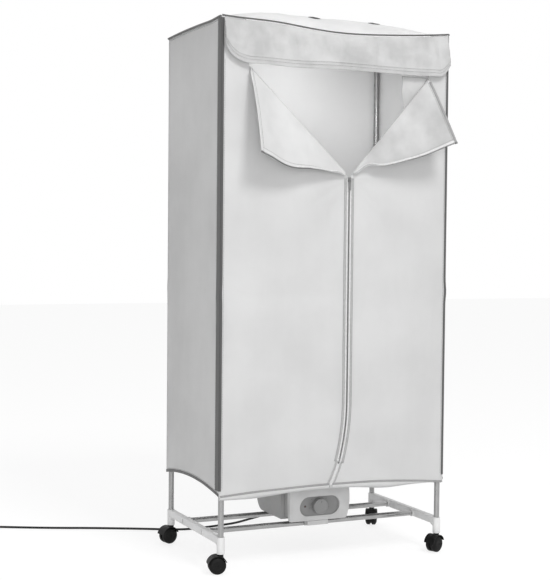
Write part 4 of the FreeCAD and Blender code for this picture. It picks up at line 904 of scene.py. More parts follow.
@dataclass
class ClothCover:
    """The stretched panels: front, sides, back, header and roof."""

    shape: CoverShape
    finishes: Finishes
    grain: float = 8.0 * MM
    gauge: float = 1.2 * MM
    vents: tuple[float, float] = (-21.5 * MM, 173.5 * MM)
    vent_y: float = -88.0 * MM
    header: float = 24.0 * MM
    made: list[bpy.types.Object] = field(default_factory=list)

    def build(self) -> None:
        """Make every panel."""
        for side, label in ((Side.LEFT, "left"), (Side.RIGHT, "right")):
            self.front_panel(side, label)
            self.side_panel(side, label)
        self.back_panel()
        self.header_band()
        self.roof_panel()

    def sheet(
        self,
        name: str,
        points: list[Vector],
        columns: int,
        finish: bpy.types.Material,
        node: str,
    ) -> bpy.types.Object:
        """Turn a grid of points into a sheet that stands for a node.

        Args:
            name: The piece's name.
            points: The grid, row by row, facing outward.
            columns: Points in a row.
            finish: The outside's material.
            node: The node it stands for.

        Returns:
            The sheet.
        """
        made = piece(name, points, grid_faces(columns, len(points) // columns), finish)
        solidify(made, self.gauge, -1.0, self.finishes.inner)
        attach(made, Body.CABINET.value)
        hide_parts(node)
        self.made.append(made)
        return made

    def front_rows(self, side: Side) -> list[float]:
        """Heights of the rows, with one exactly at each corner of the opening."""
        s = self.shape
        corner = s.opening_left if side is Side.LEFT else s.opening_right
        stops = [0.0, s.zip_top - s.hem, corner[1] - s.hem, s.top - s.hem]
        rows = []
        for low, high in zip(stops, stops[1:]):
            count = max(2, round((high - low) / self.grain))
            rows += [low + (high - low) * i / count for i in range(count)]
        return rows + [stops[-1]]

    def row_height(self, x: float, level: float) -> float:
        """Height of a row at a place across, arched at the hem and sagging at the roof."""
        s = self.shape
        full = s.top - s.hem
        low = (s.hem_z(x) - s.hem) * max(0.0, 1 - level / 0.25) ** 2
        high = (s.front_top(x) - s.top) * max(0.0, 1 - (full - level) / 0.11) ** 2
        return s.hem + level + low + high

    def front_panel(self, side: Side, label: str) -> None:
        """One front panel, beside the zip and the opening."""
        s = self.shape
        outer = side * (s.half_width - 0.6 * MM)
        columns = 46
        points = []
        for level in self.front_rows(side):
            inner = s.opening_edge(side, s.hem + level)
            for _ in range(3):
                inner = s.opening_edge(side, self.row_height(inner, level))
            ends = (outer, inner) if side is Side.LEFT else (inner, outer)
            for c in range(columns):
                x = ends[0] + (ends[1] - ends[0]) * c / (columns - 1)
                points.append(s.front(x, self.row_height(x, level)))
        name = "cover_front_" + label
        self.sheet(name + "_cloth", points, columns, self.finishes.front, name)

    def side_panel(self, side: Side, label: str) -> None:
        """One side panel, hem to roof."""
        s = self.shape
        columns = 54
        rows = round((s.top - s.hem) / self.grain)
        half = s.half_depth - 0.4 * MM
        points = []
        for r in range(rows + 1):
            for c in range(columns):
                y = side * half * (2 * c / (columns - 1) - 1)
                low, high = s.side_hem(y), s.side_top(y)
                z = low + (high - low) * r / rows
                points.append(s.side(side, y, z))
        name = "cover_" + label
        self.sheet(name + "_cloth", points, columns, self.finishes.side, name)

    def back_panel(self) -> None:
        """The back panel."""
        s = self.shape
        columns = 90
        rows = round((s.top - s.hem) / self.grain)
        points = []
        for r in range(rows + 1):
            for c in range(columns):
                x = (s.half_width - 0.6 * MM) * (1 - 2 * c / (columns - 1))
                low = s.back_hem(x)
                z = low + (s.back_top(x) - low) * r / rows
                edge = 1 - abs(x / s.half_width) ** 8
                fold = 2.4 * MM * rough(x * 1.6, z * 0.5, 2.6, 61.0) - 1.6 * MM * ridge(z, s.joiner_z, 0.018)
                points.append(Vector((x, s.half_depth + edge * fold, z)))
        self.sheet("cover_back_cloth", points, columns, self.finishes.side, "cover_back")

    def header_band(self) -> None:
        """The band across the opening's head, behind the valance."""
        s = self.shape
        columns, rows = 76, 6
        points = []
        for r in range(rows + 1):
            for c in range(columns):
                x = s.head_left + 6 * MM + (s.head_right - s.head_left - 12 * MM) * c / (columns - 1)
                top = s.front_top(x)
                low = s.top - s.front_sag - self.header
                points.append(Vector((x, s.front_y(x), low + (top - low) * r / rows)))
        self.sheet("cover_header_cloth", points, columns, self.finishes.inner, "cover_header")

    def roof_panel(self) -> None:
        """The domed roof, with a hole at each vent."""
        s = self.shape
        columns, rows = 120, 72
        points = []
        for r in range(rows + 1):
            for c in range(columns):
                x = (s.half_width - 0.6 * MM) * (2 * c / (columns - 1) - 1)
                points.append(s.roof(x, r / rows))
        faces = []
        for face in grid_faces(columns, rows + 1):
            centre = sum((points[i] for i in face), Vector()) / 4
            if all(math.hypot(centre.x - v, centre.y - self.vent_y) > 10.5 * MM for v in self.vents):
                faces.append(face)
        made = piece("cover_roof_cloth", points, faces, self.finishes.roof)
        solidify(made, self.gauge, -1.0, self.finishes.inner)
        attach(made, Body.CABINET.value)
        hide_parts("cover_roof")
        for i, x in enumerate(self.vents):
            self.vent_ring(i, x)

    def vent_ring(self, index: int, x: float) -> None:
        """The stitched eyelet round one roof vent."""
        s = self.shape
        path = []
        for i in range(40):
            a = 2 * math.pi * i / 40
            px, py = x + 12.5 * MM * math.cos(a), self.vent_y + 12.5 * MM * math.sin(a)
            share = (py - s.front_y(px)) / (s.half_depth - s.front_y(px))
            path.append(s.roof(px, share) + Vector((0, 0, 0.2 * MM)))
        profile = strip_profile(11 * MM, 1.0 * MM, 0.6 * MM)
        points, faces = sweep(path, profile, lambda i: Vector((0, 0, 1)), closed=True)
        ring = piece(f"roof_vent_ring_{index}", points, faces, self.finishes.binding)
        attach(ring, Body.CABINET.value)


@dataclass
class Valance:
    """The pelmet that hangs over the head of the opening."""

    shape: CoverShape
    finishes: Finishes
    span: tuple[float, float] = (-349.0 * MM, 351.0 * MM)
    bottom: float = 1385.0 * MM
    top_drop: float = 3.6 * MM
    stand: float = 12.0 * MM
    gap: float = 1.7 * MM
    corner: tuple[float, float] = (78.0 * MM, 36.0 * MM)
    corner_rise: tuple[float, float] = (66.0 * MM, 34.0 * MM)
    pinches: tuple[float, ...] = (-0.315, -0.128, 0.118, 0.318)

    def low(self, x: float) -> float:
        """Height of the lower edge, with its rounded corners."""
        a, b = self.span
        left = min(1.0, max(0.0, 1 - (x - a) / self.corner[0]))
        right = min(1.0, max(0.0, 1 - (b - x) / self.corner[1]))
        wave = 1.2 * MM * math.sin(x * 21 + 1.0)
        round_left = self.corner_rise[0] * (1 - math.sqrt(1 - left**2))
        return self.bottom + round_left + self.corner_rise[1] * right**2 + wave

    def place(self, x: float, share: float, proud: float = 0.0) -> Vector:
        """A place on the valance, by its share of the way up."""
        s = self.shape
        low, high = self.low(x), s.front_top(x) - self.top_drop
        z = low + (high - low) * share
        y_top = s.front_y(x) - self.gap - s.cloth
        middle = (self.span[0] + self.span[1]) / 2
        half = (self.span[1] - self.span[0]) / 2
        wave = 3.0 * MM * math.sin((x - middle) / half * 3.5 * math.pi)
        fall = 1 - share
        out = (self.stand - wave) * fall + (5.0 * MM + wave) * 4 * fall * share * 0.75
        puff = 3.4 * MM * rough(x * 0.9, z * 1.6, 9.0, 71.0) + 1.5 * MM * rough(x, z, 26.0, 77.0)
        for at in self.pinches:
            puff -= 4.5 * MM * ridge(x + 0.25 * (share - 0.5) * 0.05, at, 0.009) * (0.25 + 0.75 * share)
            puff += 1.6 * MM * ridge(x, at, 0.03) * share
        seam = -1.6 * MM * (ridge(z - low, 9 * MM, 2.2 * MM) + ridge(z - low, 17 * MM, 2.2 * MM))
        body = min(1.0, share * 9) * min(1.0, (1 - share) * 5)
        return Vector((x, y_top - out - puff * (0.15 + 0.85 * body) - seam * -1 - proud, z))

    def build(self) -> None:
        """Make the valance, its stitching and its bound edge."""
        columns, rows = 176, 34
        a, b = self.span
        points = [
            self.place(a + (b - a) * c / (columns - 1), r / rows)
            for r in range(rows + 1)
            for c in range(columns)
        ]
        cloth = piece("cover_valance_cloth", points, grid_faces(columns, rows + 1), self.finishes.valance)
        solidify(cloth, 1.2 * MM, -1.0, self.finishes.inner)
        rows_of_thread = []
        for height in (9 * MM, 17 * MM):
            line = []
            for c in range(140):
                x = a + 4 * MM + (b - a - 8 * MM) * c / 139
                span = self.shape.front_top(x) - self.top_drop - self.low(x)
                line.append(self.place(x, height / span, 0.1 * MM))
            rows_of_thread.append(stitches(line, lambda p: Vector((0, -1, 0))))
        seam = piece("valance_stitching", *join(rows_of_thread), self.finishes.thread, smooth=False)
        edge = [self.place(a + (b - a) * c / 160, 0.0) + Vector((0, 0.6 * MM, 0)) for c in range(161)]
        points, faces = sweep(edge, round_profile(1.3 * MM, 8), lambda i: Vector((0, -1, 0)))
        roll = piece("valance_hem_roll", points, faces, self.finishes.valance)
        for made in (cloth, seam, roll):
            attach(made, Body.VALANCE.value)
        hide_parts("cover_valance")


@dataclass
class Flap:
    """One flap folded out beside the opening, with its half of the zip along its lower edge."""

    shape: CoverShape
    finishes: Finishes
    side: Side
    body: Body
    tip: tuple[float, float, float]
    gap: float
    sag: tuple[float, float, float]
    lift: tuple[float, float, float]
    root: float = 16.0 * MM
    bulge: float = 6.0 * MM
    gauge: float = 1.2 * MM

    def corners(self) -> tuple[Vector, Vector, Vector]:
        """The fold's two ends and the free tip."""
        s = self.shape
        corner = s.opening_left if self.side is Side.LEFT else s.opening_right
        head = Vector((corner[0], s.front_y(corner[0]) - self.gap, corner[1]))
        foot = Vector((s.zip_x, s.front_y(s.zip_x) - self.gap, s.zip_top))
        return head, foot, Vector(self.tip)

    def facing(self) -> Vector:
        """The direction that the shown face points."""
        head, foot, tip = self.corners()
        face = (tip - head).cross(foot - head).normalized()
        return face if face.y < 0 else -face

    def place(self, share: float, out: float, proud: float = 0.0) -> Vector:
        """A place on the flap.

        Args:
            share: Down the fold, from the head to the zip.
            out: From the fold to the free edge.
            proud: Metres in front of the shown face.

        Returns:
            The place.
        """
        head, foot, tip = self.corners()
        fold, free = foot - head, foot - tip
        start = head + fold * share * (1 - self.root / fold.length)
        end = tip + free * share * (1 - self.root / free.length)
        face = self.facing()
        flat = start.lerp(end, out)
        arch = 4 * out * (1 - out)
        bulge = self.bulge * math.cos(3.2 * math.pi * share) * (1.05 - share) * arch
        wave = 1.6 * MM * rough(flat.x, flat.z, 11.0, 83.0 + self.side) * out
        wave += 0.6 * MM * math.sin(share * 17 + 1.2 * self.side) * out**2
        rise, down = (depth * ridge(share, centre, width) for depth, centre, width in (self.lift, self.sag))
        droop = (rise - down) * out**2
        return flat + face * (bulge + wave + 1.4 * MM + proud) + Vector((0, 0, droop))

    def build(self) -> None:
        """Make the flap, its tape, teeth, binding and stitching."""
        label = self.side.name.lower()
        columns, rows = 64, 34
        points = [
            self.place(c / (columns - 1), r / rows) for r in range(rows + 1) for c in range(columns)
        ]
        faces = grid_faces(columns, rows + 1)
        if self.side is Side.LEFT:
            faces = [tuple(reversed(face)) for face in faces]
        # The right flap gets the darker cloth and a dark grey edge binding, painted shade, where the left
        # flap gets the lighter ones.
        shade = self.side is Side.RIGHT
        finish = self.finishes.flap_shade if shade else self.finishes.flap
        cloth = piece(f"cover_flap_{label}_cloth", points, faces, finish)
        solidify(cloth, self.gauge, -1.0, self.finishes.front)
        face = self.facing()
        lower = [self.place(c / 60, 1.0) for c in range(61)]
        tape_line = [self.place(c / 60, 0.975, 0.1 * MM) for c in range(61)]
        tape = piece(
            f"flap_{label}_zip_tape",
            *sweep(tape_line, strip_profile(7 * MM, 0.6 * MM), lambda i: face),
            self.finishes.tape,
        )
        teeth = []
        down = Vector((0, 0, -1))
        places = resample(lower, 2.7 * MM)
        for a, b in zip(places, places[1:]):
            out = (b - a).cross(face).normalized()
            out = out if out.dot(down) > 0 else -out
            centre = (a + b) / 2 + out * 0.4 * MM - face * 1.0 * MM
            teeth.append(bar(centre, out, face, 3.6 * MM, 1.4 * MM, 2.0 * MM))
        chain = piece(f"flap_{label}_zip_teeth", *join(teeth), self.finishes.teeth, smooth=False)
        outer = [self.place(0.0, out) for out in spaced(0.06, 1.0, 40)]
        bound = piece(
            f"flap_{label}_edge_binding",
            *sweep(outer, strip_profile(7 * MM, 1.2 * MM, 0.4 * MM), lambda i: face),
            self.finishes.fold if shade else self.finishes.hem,
        )
        seam_line = [self.place(c / 60, 0.945, 0.1 * MM) for c in range(61)]
        edge_line = [self.place(0.022, c / 40, 0.1 * MM) for c in range(41)]
        rows_of_thread = [stitches(line, lambda p: face) for line in (seam_line, edge_line)]
        seam = piece(f"flap_{label}_stitching", *join(rows_of_thread), self.finishes.thread, smooth=False)
        stop_at = self.place(0.0, 1.0)
        stop_below = stop_at + Vector((0, 0, -1 * MM))
        stop = piece(
            f"flap_{label}_zip_stop",
            *bar(stop_below, self.place(0.03, 1.0) - stop_at, face, 8 * MM, 5 * MM, 3 * MM),
            self.finishes.teeth,
            smooth=False,
        )
        for made in (cloth, tape, chain, bound, seam, stop):
            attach(made, self.body.value)
        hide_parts(f"cover_flap_{label}")
        head, foot, tip = self.corners()


@dataclass
class Cuff:
    """The gathered cloth behind the right flap, across the opening's top corner, in the darker flap cloth
    that paints its shade.
    """

    shape: CoverShape
    finishes: Finishes
    left: float = 199.5 * MM
    high: float = 1381.0 * MM
    low: float = 1288.0 * MM
    inside: float = 4.0 * MM

    def place(self, share: float, down: float) -> Vector:
        """A place on the cloth.

        Args:
            share: From the free edge to the seam under the front panel.
            down: From the head to the foot.

        Returns:
            The place.
        """
        s = self.shape
        z = self.high + (self.low - self.high) * down
        seam = s.opening_edge(Side.RIGHT, z) + 7.0 * MM
        foot = s.opening_edge(Side.RIGHT, self.low)
        free = self.left + (foot - self.left) * down**2.2 + 1.5 * MM * math.sin(9.0 * down)
        x = free + (seam - free) * share
        gather = 2.2 * MM * math.sin(70.0 * (x - 0.6 * (z - self.low))) * (1 - share) * (0.4 + down)
        return Vector((x, s.front_y(x) + self.inside + gather, z))

    def build(self) -> None:
        columns, rows = 24, 24
        grid = [(c / (columns - 1), 1 - r / rows) for r in range(rows + 1) for c in range(columns)]
        points = [self.place(*spot) for spot in grid]
        made = piece("cover_cuff_cloth", points, grid_faces(columns, rows + 1), self.finishes.flap_shade)
        solidify(made, 1.2 * MM, -1.0, self.finishes.inner)
        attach(made, Body.CABINET.value)


@dataclass
class Zip:
    """The closed run of the zip on the front, down to its curved foot."""

    shape: CoverShape
    finishes: Finishes
    pitch: float = 1.35 * MM
    reveal: float = 5.3 * MM
    band: float = 7.4 * MM

    def centre(self, step: float, high: float = 0.0, low: float = 0.0) -> list[Vector]:
        """Points down the zip's middle, on the plain front.

        Args:
            step: Metres from one to the next.
            high: Where they start, if not at the slider.
            low: Where they end, if not at the zip's foot.

        Returns:
            The points, from the top down.
        """
        s = self.shape
        high, low = high or s.zip_top - 3 * MM, low or s.zip_bottom
        heights = [high - i * step for i in range(int((high - low) / step) + 1)]
        return [Vector((s.zip_path(z), s.front_y(s.zip_path(z)), z)) for z in heights]

    def across(self, z: float) -> Vector:
        """The direction across the zip at a height."""
        s = self.shape
        slope = max(0.0, (s.zip_bend - z) / s.zip_bend_r)
        return Vector((math.sqrt(1 - slope**2), 0.0, -slope))

    def strip(self, offset: float, width: float, thickness: float, proud: float) -> Mesh:
        """A tape, or a grey band that marks a stitched cloth edge and paints its shadow, running beside the
        teeth.
        """
        out = Vector((0, -1, 0))
        path = [p + self.across(p.z) * offset + out * proud for p in self.centre(6 * MM)]
        return sweep(path, strip_profile(width, thickness), lambda i: out)

    def placket(self, offset: float, width: float, proud: float) -> Mesh:
        """A strip that closes the slit between the zip's foot and the hem."""
        out = Vector((0, -1, 0))
        top = self.shape.zip_bottom + 4 * MM
        low = self.shape.hem_fold(self.shape.zip_path(self.shape.hem)) - 4 * MM
        path = [p + self.across(p.z) * offset + out * proud for p in self.centre(5 * MM, top, low)]
        return sweep(path, strip_profile(width, 0.7 * MM), lambda i: out)

    def build(self) -> None:
        """Make the tapes, the grey bands that mark the stitched cloth edges and paint their shadow, their
        stitching, the teeth and the stops.
        """
        out = Vector((0, -1, 0))
        light, dark, thread, teeth = [], [], [], []
        inner = 2.4 * MM
        light.append(self.placket(0.0, 9.0 * MM, 0.5 * MM))
        for s in (-1, 1):
            light.append(self.strip(s * (inner + self.reveal / 2), self.reveal, 0.7 * MM, 0.3 * MM))
            at = inner + self.reveal + self.band / 2
            # Grey bands mark the stitched cloth edges and paint their shadow; the placket's two dark strips
            # mark its seams and paint their shade.
            dark.append(self.strip(s * at, self.band, 1.0 * MM, 0.3 * MM))
            dark.append(self.placket(s * 8.6 * MM, 5.0 * MM, 0.3 * MM))
            for seam in (-0.32, 0.32):
                offset = s * (at + seam * self.band)
                line = [p + self.across(p.z) * offset + out * 1.25 * MM for p in self.centre(6 * MM)]
                thread.append(stitches(line, lambda p: out, 3.4 * MM))
        for i, p in enumerate(self.centre(self.pitch)[8:]):
            side = self.across(p.z) * (0.7 * MM if i % 2 else -0.7 * MM)
            teeth.append(bar(p + side, self.across(p.z), out, 3.2 * MM, 1.05 * MM, 2.0 * MM))
        foot = self.centre(self.pitch)[-1]
        box_at = foot + Vector((0, 0, 3 * MM))
        teeth.append(bar(box_at, self.across(foot.z), out, 5.4 * MM, 5.0 * MM, 2.3 * MM))
        tapes = piece("zip_tapes", *join(light), self.finishes.tape)
        bands = piece("zip_bands", *join(dark), self.finishes.zip_band)
        seams = piece("zip_stitching", *join(thread), self.finishes.thread, smooth=False)
        chain = piece("zip_teeth", *join(teeth), self.finishes.teeth, smooth=False)
        for made in (tapes, bands, seams, chain):
            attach(made, Body.CABINET.value)
        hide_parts("zip_track")


@dataclass
class Trims:
    """Bindings, piping, hem bands, painted shadows along the hem folds and stitching on the stretched panels.
    """

    shape: CoverShape
    finishes: Finishes
    gap: float = 0.3 * MM
    thickness: float = 1.0 * MM
    corner_side: float = 26.0 * MM
    corner_front: float = 6.0 * MM
    piping: float = 2.6 * MM
    band: float = 8.0 * MM

    def own(self, made: bpy.types.Object) -> bpy.types.Object:
        """Ride on the cabinet."""
        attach(made, Body.CABINET.value)
        return made

    def build(self) -> None:
        """Make every trim."""
        corners = self.own(self.corner_binding_and_shade())
        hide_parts("cover_binding")
        self.own(self.roof_piping())
        self.own(self.side_hems())
        self.own(self.front_hems())
        self.own(self.hem_fold_painted_shadows())
        self.own(self.seams())

    def corner_binding_and_shade(self) -> bpy.types.Object:
        """The dark bands that wrap the two front corners: binding at the edge, widened on the side to paint
        the shade where the cloth rounds the post.
        """
        s = self.shape
        low, high = s.hem + 2 * self.band, s.top - 4 * MM
        count = round((high - low) / (12 * MM))
        points, faces = [], []
        for side in (Side.LEFT, Side.RIGHT):
            start = len(points)
            section = 9
            for i in range(count + 1):
                z = low + (high - low) * i / count
                bulge = s.joiner_bulge(0.0, z)
                x0, y0 = side * (s.half_width + bulge), -s.half_depth - bulge
                back, inset = y0 + self.corner_side, self.corner_front
                face_y = s.front_y(s.half_width - inset) - bulge
                lift = self.gap + self.thickness
                ring = [
                    (x0, back), (x0 + side * lift * 0.8, back), (x0 + side * lift, back - 1.5 * MM),
                    (x0 + side * lift, y0 + 2 * MM), (x0 + side * lift * 0.7, y0 - lift * 0.7),
                    (x0 - side * 2 * MM, y0 - lift), (x0 - side * inset * 0.8, face_y - lift),
                    (x0 - side * inset, face_y - lift * 0.8), (x0 - side * inset, face_y),
                ]
                points += [Vector((x, y, z)) for x, y in ring]
            for i in range(count):
                a, b = start + i * section, start + (i + 1) * section
                for j in range(section - 1):
                    quad = (a + j, a + j + 1, b + j + 1, b + j)
                    faces.append(quad if side is Side.RIGHT else tuple(reversed(quad)))
        return piece("corner_binding_and_shade", points, faces, self.finishes.band)

    def roof_piping(self) -> bpy.types.Object:
        """Round piping along the roof's edges."""
        s = self.shape
        r = self.piping
        runs = []
        profile = round_profile(r, 10)
        for side in (Side.LEFT, Side.RIGHT):
            x = side * (s.half_width + self.gap + r)
            reach = s.half_depth - r
            line = [Vector((x, y, s.side_top(y) + 0.2 * MM)) for y in spaced(-reach, reach, 40)]
            runs.append(sweep(line, profile, lambda i: Vector((0, 0, 1))))
        y = s.half_depth + self.gap + r
        line = [Vector((x, y, s.back_top(x))) for x in spaced(-s.half_width, s.half_width, 60)]
        runs.append(sweep(line, profile, lambda i: Vector((0, 0, 1))))
        thin = round_profile(1.9 * MM, 10)
        line = [
            Vector((x, s.front_y(x) - 0.6 * MM, s.front_top(x) + 1.6 * MM))
            for x in spaced(-s.half_width, s.half_width, 90)
        ]
        runs.append(sweep(line, thin, lambda i: Vector((0, 0, 1))))
        return piece("roof_piping", *join(runs), self.finishes.binding)

    def side_hems(self) -> bpy.types.Object:
        """Dark bound hems along the sides and the back."""
        s = self.shape
        profile = strip_profile(self.band, self.thickness, 0.2 * MM)
        runs = []
        for side in (Side.LEFT, Side.RIGHT):
            out = Vector((side, 0, 0))
            places = spaced(-s.half_depth + 1 * MM, s.half_depth - 1 * MM, 44)
            line = [s.side(side, y, s.side_hem(y) + self.band / 2 + 0.3 * MM, self.gap) for y in places]
            runs.append(sweep(line, profile, lambda i, out=out: out))
        line = []
        for x in spaced(-s.half_width + 1 * MM, s.half_width - 1 * MM, 60):
            out = s.half_depth + 2.6 * MM * (1 - abs(x / s.half_width) ** 8)
            line.append(Vector((x, out, s.back_hem(x) + self.band / 2)))
        runs.append(sweep(line, profile, lambda i: Vector((0, 1, 0))))
        return piece("hem_bindings", *join(runs), self.finishes.binding)

    def front_spans(self) -> list[tuple[float, float]]:
        """The two stretches of front hem, either side of the slit."""
        s = self.shape
        foot = s.zip_path(s.hem + 16 * MM)
        return [(-s.half_width + 4 * MM, foot - 5 * MM), (foot + 5 * MM, s.half_width - 4 * MM)]

    def front_hems(self) -> bpy.types.Object:
        """The turned-up hems of the front panels."""
        runs = []
        for low, high in self.front_spans():
            runs.append(self.hem_strip(spaced(low, high, 70)))
        return piece("front_hems", *join(runs), self.finishes.hem)

    def hem_strip(self, places: Sequence[float]) -> Mesh:
        """The turned-up band between the hem and its stitched line."""
        s = self.shape
        points = []
        for share, proud in ((0.0, 0.1), (0.0, 0.9), (0.5, 1.3), (1.0, 0.9), (1.0, 0.1)):
            for x in places:
                low, high = s.hem_z(x) + 0.3 * MM, s.hem_fold(x)
                points.append(s.front(x, low + share * (high - low), proud * MM))
        return points, grid_faces(len(places), 5)

    def hem_fold_painted_shadows(self) -> bpy.types.Object:
        """A grey strip along the top of each front hem: painted shadow under the hem's fold."""
        s = self.shape
        runs = []
        for low, high in self.front_spans():
            line = [s.front(x, s.hem_fold(x) + 1.5 * MM, 0.4 * MM) for x in spaced(low, high, 70)]
            profile = strip_profile(5.5 * MM, 1.0 * MM, 0.3 * MM)
            runs.append(sweep(line, profile, lambda i: Vector((0, -1, 0))))
        return piece("hem_fold_painted_shadows", *join(runs), self.finishes.fold)

    def seams(self) -> bpy.types.Object:
        """Stitch lines along hems, bands and roof."""
        s = self.shape
        front = Vector((0, -1, 0))
        rows = []
        for low, high in self.front_spans():
            for level in (lambda x: s.hem_fold(x) - 2.2 * MM, lambda x: s.hem_z(x) + 2.6 * MM):
                line = [s.front(x, level(x), 0.5 * MM) for x in spaced(low, high, 90)]
                rows.append(stitches(line, lambda p: front))
        for side in (Side.LEFT, Side.RIGHT):
            out = Vector((side, 0, 0))
            line = [s.side(side, y, s.side_hem(y) + 10.5 * MM, 0.2 * MM) for y in spaced(-0.2, 0.2, 50)]
            rows.append(stitches(line, lambda p, out=out: out))
            x = side * (s.half_width - self.corner_front - 3 * MM)
            line = [s.front(x, z, 0.1 * MM) for z in spaced(s.hem + 0.02, s.top - 0.11, 120)]
            rows.append(stitches(line, lambda p: front))
            y = -s.half_depth + self.corner_side + 3 * MM
            line = [s.side(side, y, z, 0.1 * MM) for z in spaced(0.24, 1.50, 120)]
            rows.append(stitches(line, lambda p, out=out: out))
            line = [s.side(side, y, s.side_top(y) - 8 * MM, 0.1 * MM) for y in spaced(-0.2, 0.2, 50)]
            rows.append(stitches(line, lambda p, out=out: out))
        return piece("panel_stitching", *join(rows), self.finishes.thread, smooth=False)


def spaced(low: float, high: float, count: int) -> list[float]:
    """Evenly spaced values, both ends included."""
    return [low + (high - low) * i / count for i in range(count + 1)]


# ---- Frame, casters and warm-air unit ----------------------------------------------------------
@dataclass
class Metalwork:
    """Finishes for the solids that keep their shape."""

    finishes: Finishes

    def build(self) -> None:
        """Dress every kept solid by the start of its node's name."""
        f = self.finishes
        table = {
            "base_rail_": f.chrome, "hanging_rail_": f.chrome, "top_side_rail_": f.chrome,
            "post_lower_": f.post, "post_upper_": f.post, "post_joiners": f.white,
            "rail_tees": f.white, "top_corners": f.white, "foot_": f.white,
            "rail_fasteners": f.steel, "unit_screws": f.steel, "motor_bracket": f.steel,
            "caster_hood_": f.black, "caster_wheels_": f.tyre, "rail_saddles": f.fascia,
            "control_fascia": f.fascia, "heater_": f.housing, "dial_plate": f.dial,
            "timer_knob": f.knob, "timer_switch": f.dark, "fan_impeller": f.dark,
            "fan_motor": f.motor, "element_frame": f.ceramic, "heating_element": f.coils,
            "cord_gland": f.lead, "zip_slider": f.zip_metal, "zip_pull": f.zip_metal,
            "power_plug": f.plug, "cover_": f.front, "zip_track": f.tape, "power_cord": f.lead,
        }
        for name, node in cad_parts.items():
            finish = next(value for start, value in table.items() if name.startswith(start))
            node.data.materials.clear()
            node.data.materials.append(finish)


@dataclass
class DialFace:
    """What shows on the dial: the timer's scale, the knob's mark and the lamp."""

    finishes: Finishes
    centre: Vector = field(default_factory=lambda: Vector((0.0, -107.6 * MM, 143.5 * MM)))
    knob_front: float = -124.6 * MM
    knob_radius: float = 22.5 * MM
    lamp_x: float = -44.0 * MM
    numbers: tuple[tuple[str, float], ...] = (("30", -100.0), ("60", -50.0), ("120", 50.0), ("150", 100.0))

    def spot(self, radius: float, degrees: float, y: float) -> Vector:
        """A place round the dial, clockwise from the top."""
        a = math.radians(degrees)
        return Vector((radius * math.sin(a), y, self.centre.z + radius * math.cos(a)))

    def build(self) -> None:
        """Make the scale, its numbers, the pointer and the lamp."""
        ticks = []
        y = self.centre.y
        for i in range(31):
            angle = -150 + 10 * i
            long = i % 5 == 0
            a, b = self.spot(23.6 * MM, angle, y), self.spot((25.6 if long else 24.7) * MM, angle, y)
            ticks.append(bar((a + b) / 2, b - a, Vector((0, -1, 0)), (b - a).length, 0.45 * MM, 0.15 * MM))
        scale = piece("timer_scale", *join(ticks), self.finishes.print, smooth=False)
        dots = []
        for i in range(24):
            place = self.spot(self.knob_radius - 4.2 * MM, i * 15.0, self.knob_front)
            dots.append(bar(place, Vector((1, 0, 0)), Vector((0, -1, 0)), 0.8 * MM, 0.8 * MM, 0.2 * MM))
        ring = piece("knob_dots", *join(dots), self.finishes.print, smooth=False)
        mark = self.spot(self.knob_radius - 8.6 * MM, 0.0, self.knob_front - 0.75 * MM)
        line = bar(mark, Vector((0, 0, 1)), Vector((0, -1, 0)), 6.0 * MM, 1.0 * MM, 0.2 * MM)
        pointer = piece("knob_pointer", *line, self.finishes.print, smooth=False)
        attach(scale, Body.CABINET.value)
        for made in (ring, pointer):
            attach(made, Body.KNOB.value)
        for text, angle in self.numbers:
            self.number(f"timer_number_{text}", text, self.spot(30.0 * MM, angle, y - 0.05 * MM))
        self.lamp()

    def number(self, name: str, text: str, place: Vector) -> None:
        """One number of minutes on the scale.

        Args:
            name: The piece's name.
            text: Its digits.
            place: Its middle.
        """
        curve = bpy.data.curves.new(name, "FONT")
        curve.body = text
        curve.size = 3.6 * MM
        curve.extrude = 0.08 * MM
        curve.align_x = "CENTER"
        curve.align_y = "CENTER"
        made = bpy.data.objects.new(name, curve)
        bpy.context.scene.collection.objects.link(made)
        made.matrix_world = Matrix.Translation(place) @ Matrix.Rotation(math.pi / 2, 4, "X")
        curve.materials.append(self.finishes.print)
        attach(made, Body.CABINET.value)

    def lamp(self) -> None:
        """The lamp's dark lens, a low dome with a rim."""
        points, faces = [], []
        profile = [
            (3.4, 0.0), (3.4, 0.5), (3.0, 0.8), (2.5, 0.7), (2.3, 1.1), (1.7, 1.5), (0.9, 1.8), (0.25, 1.9)
        ]
        sides = 28
        for radius, out in profile:
            for i in range(sides):
                a = 2 * math.pi * i / sides
                x = self.lamp_x + radius * MM * math.cos(a)
                z = self.centre.z + radius * MM * math.sin(a)
                points.append(Vector((x, self.centre.y - out * MM, z)))
        for r in range(len(profile) - 1):
            for i in range(sides):
                j = (i + 1) % sides
                faces.append((r * sides + i, r * sides + j, (r + 1) * sides + j, (r + 1) * sides + i))
        faces.append(tuple((len(profile) - 1) * sides + i for i in range(sides)))
        lens = piece("lamp_lens", points, faces, self.finishes.lamp)
        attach(lens, Body.CABINET.value)


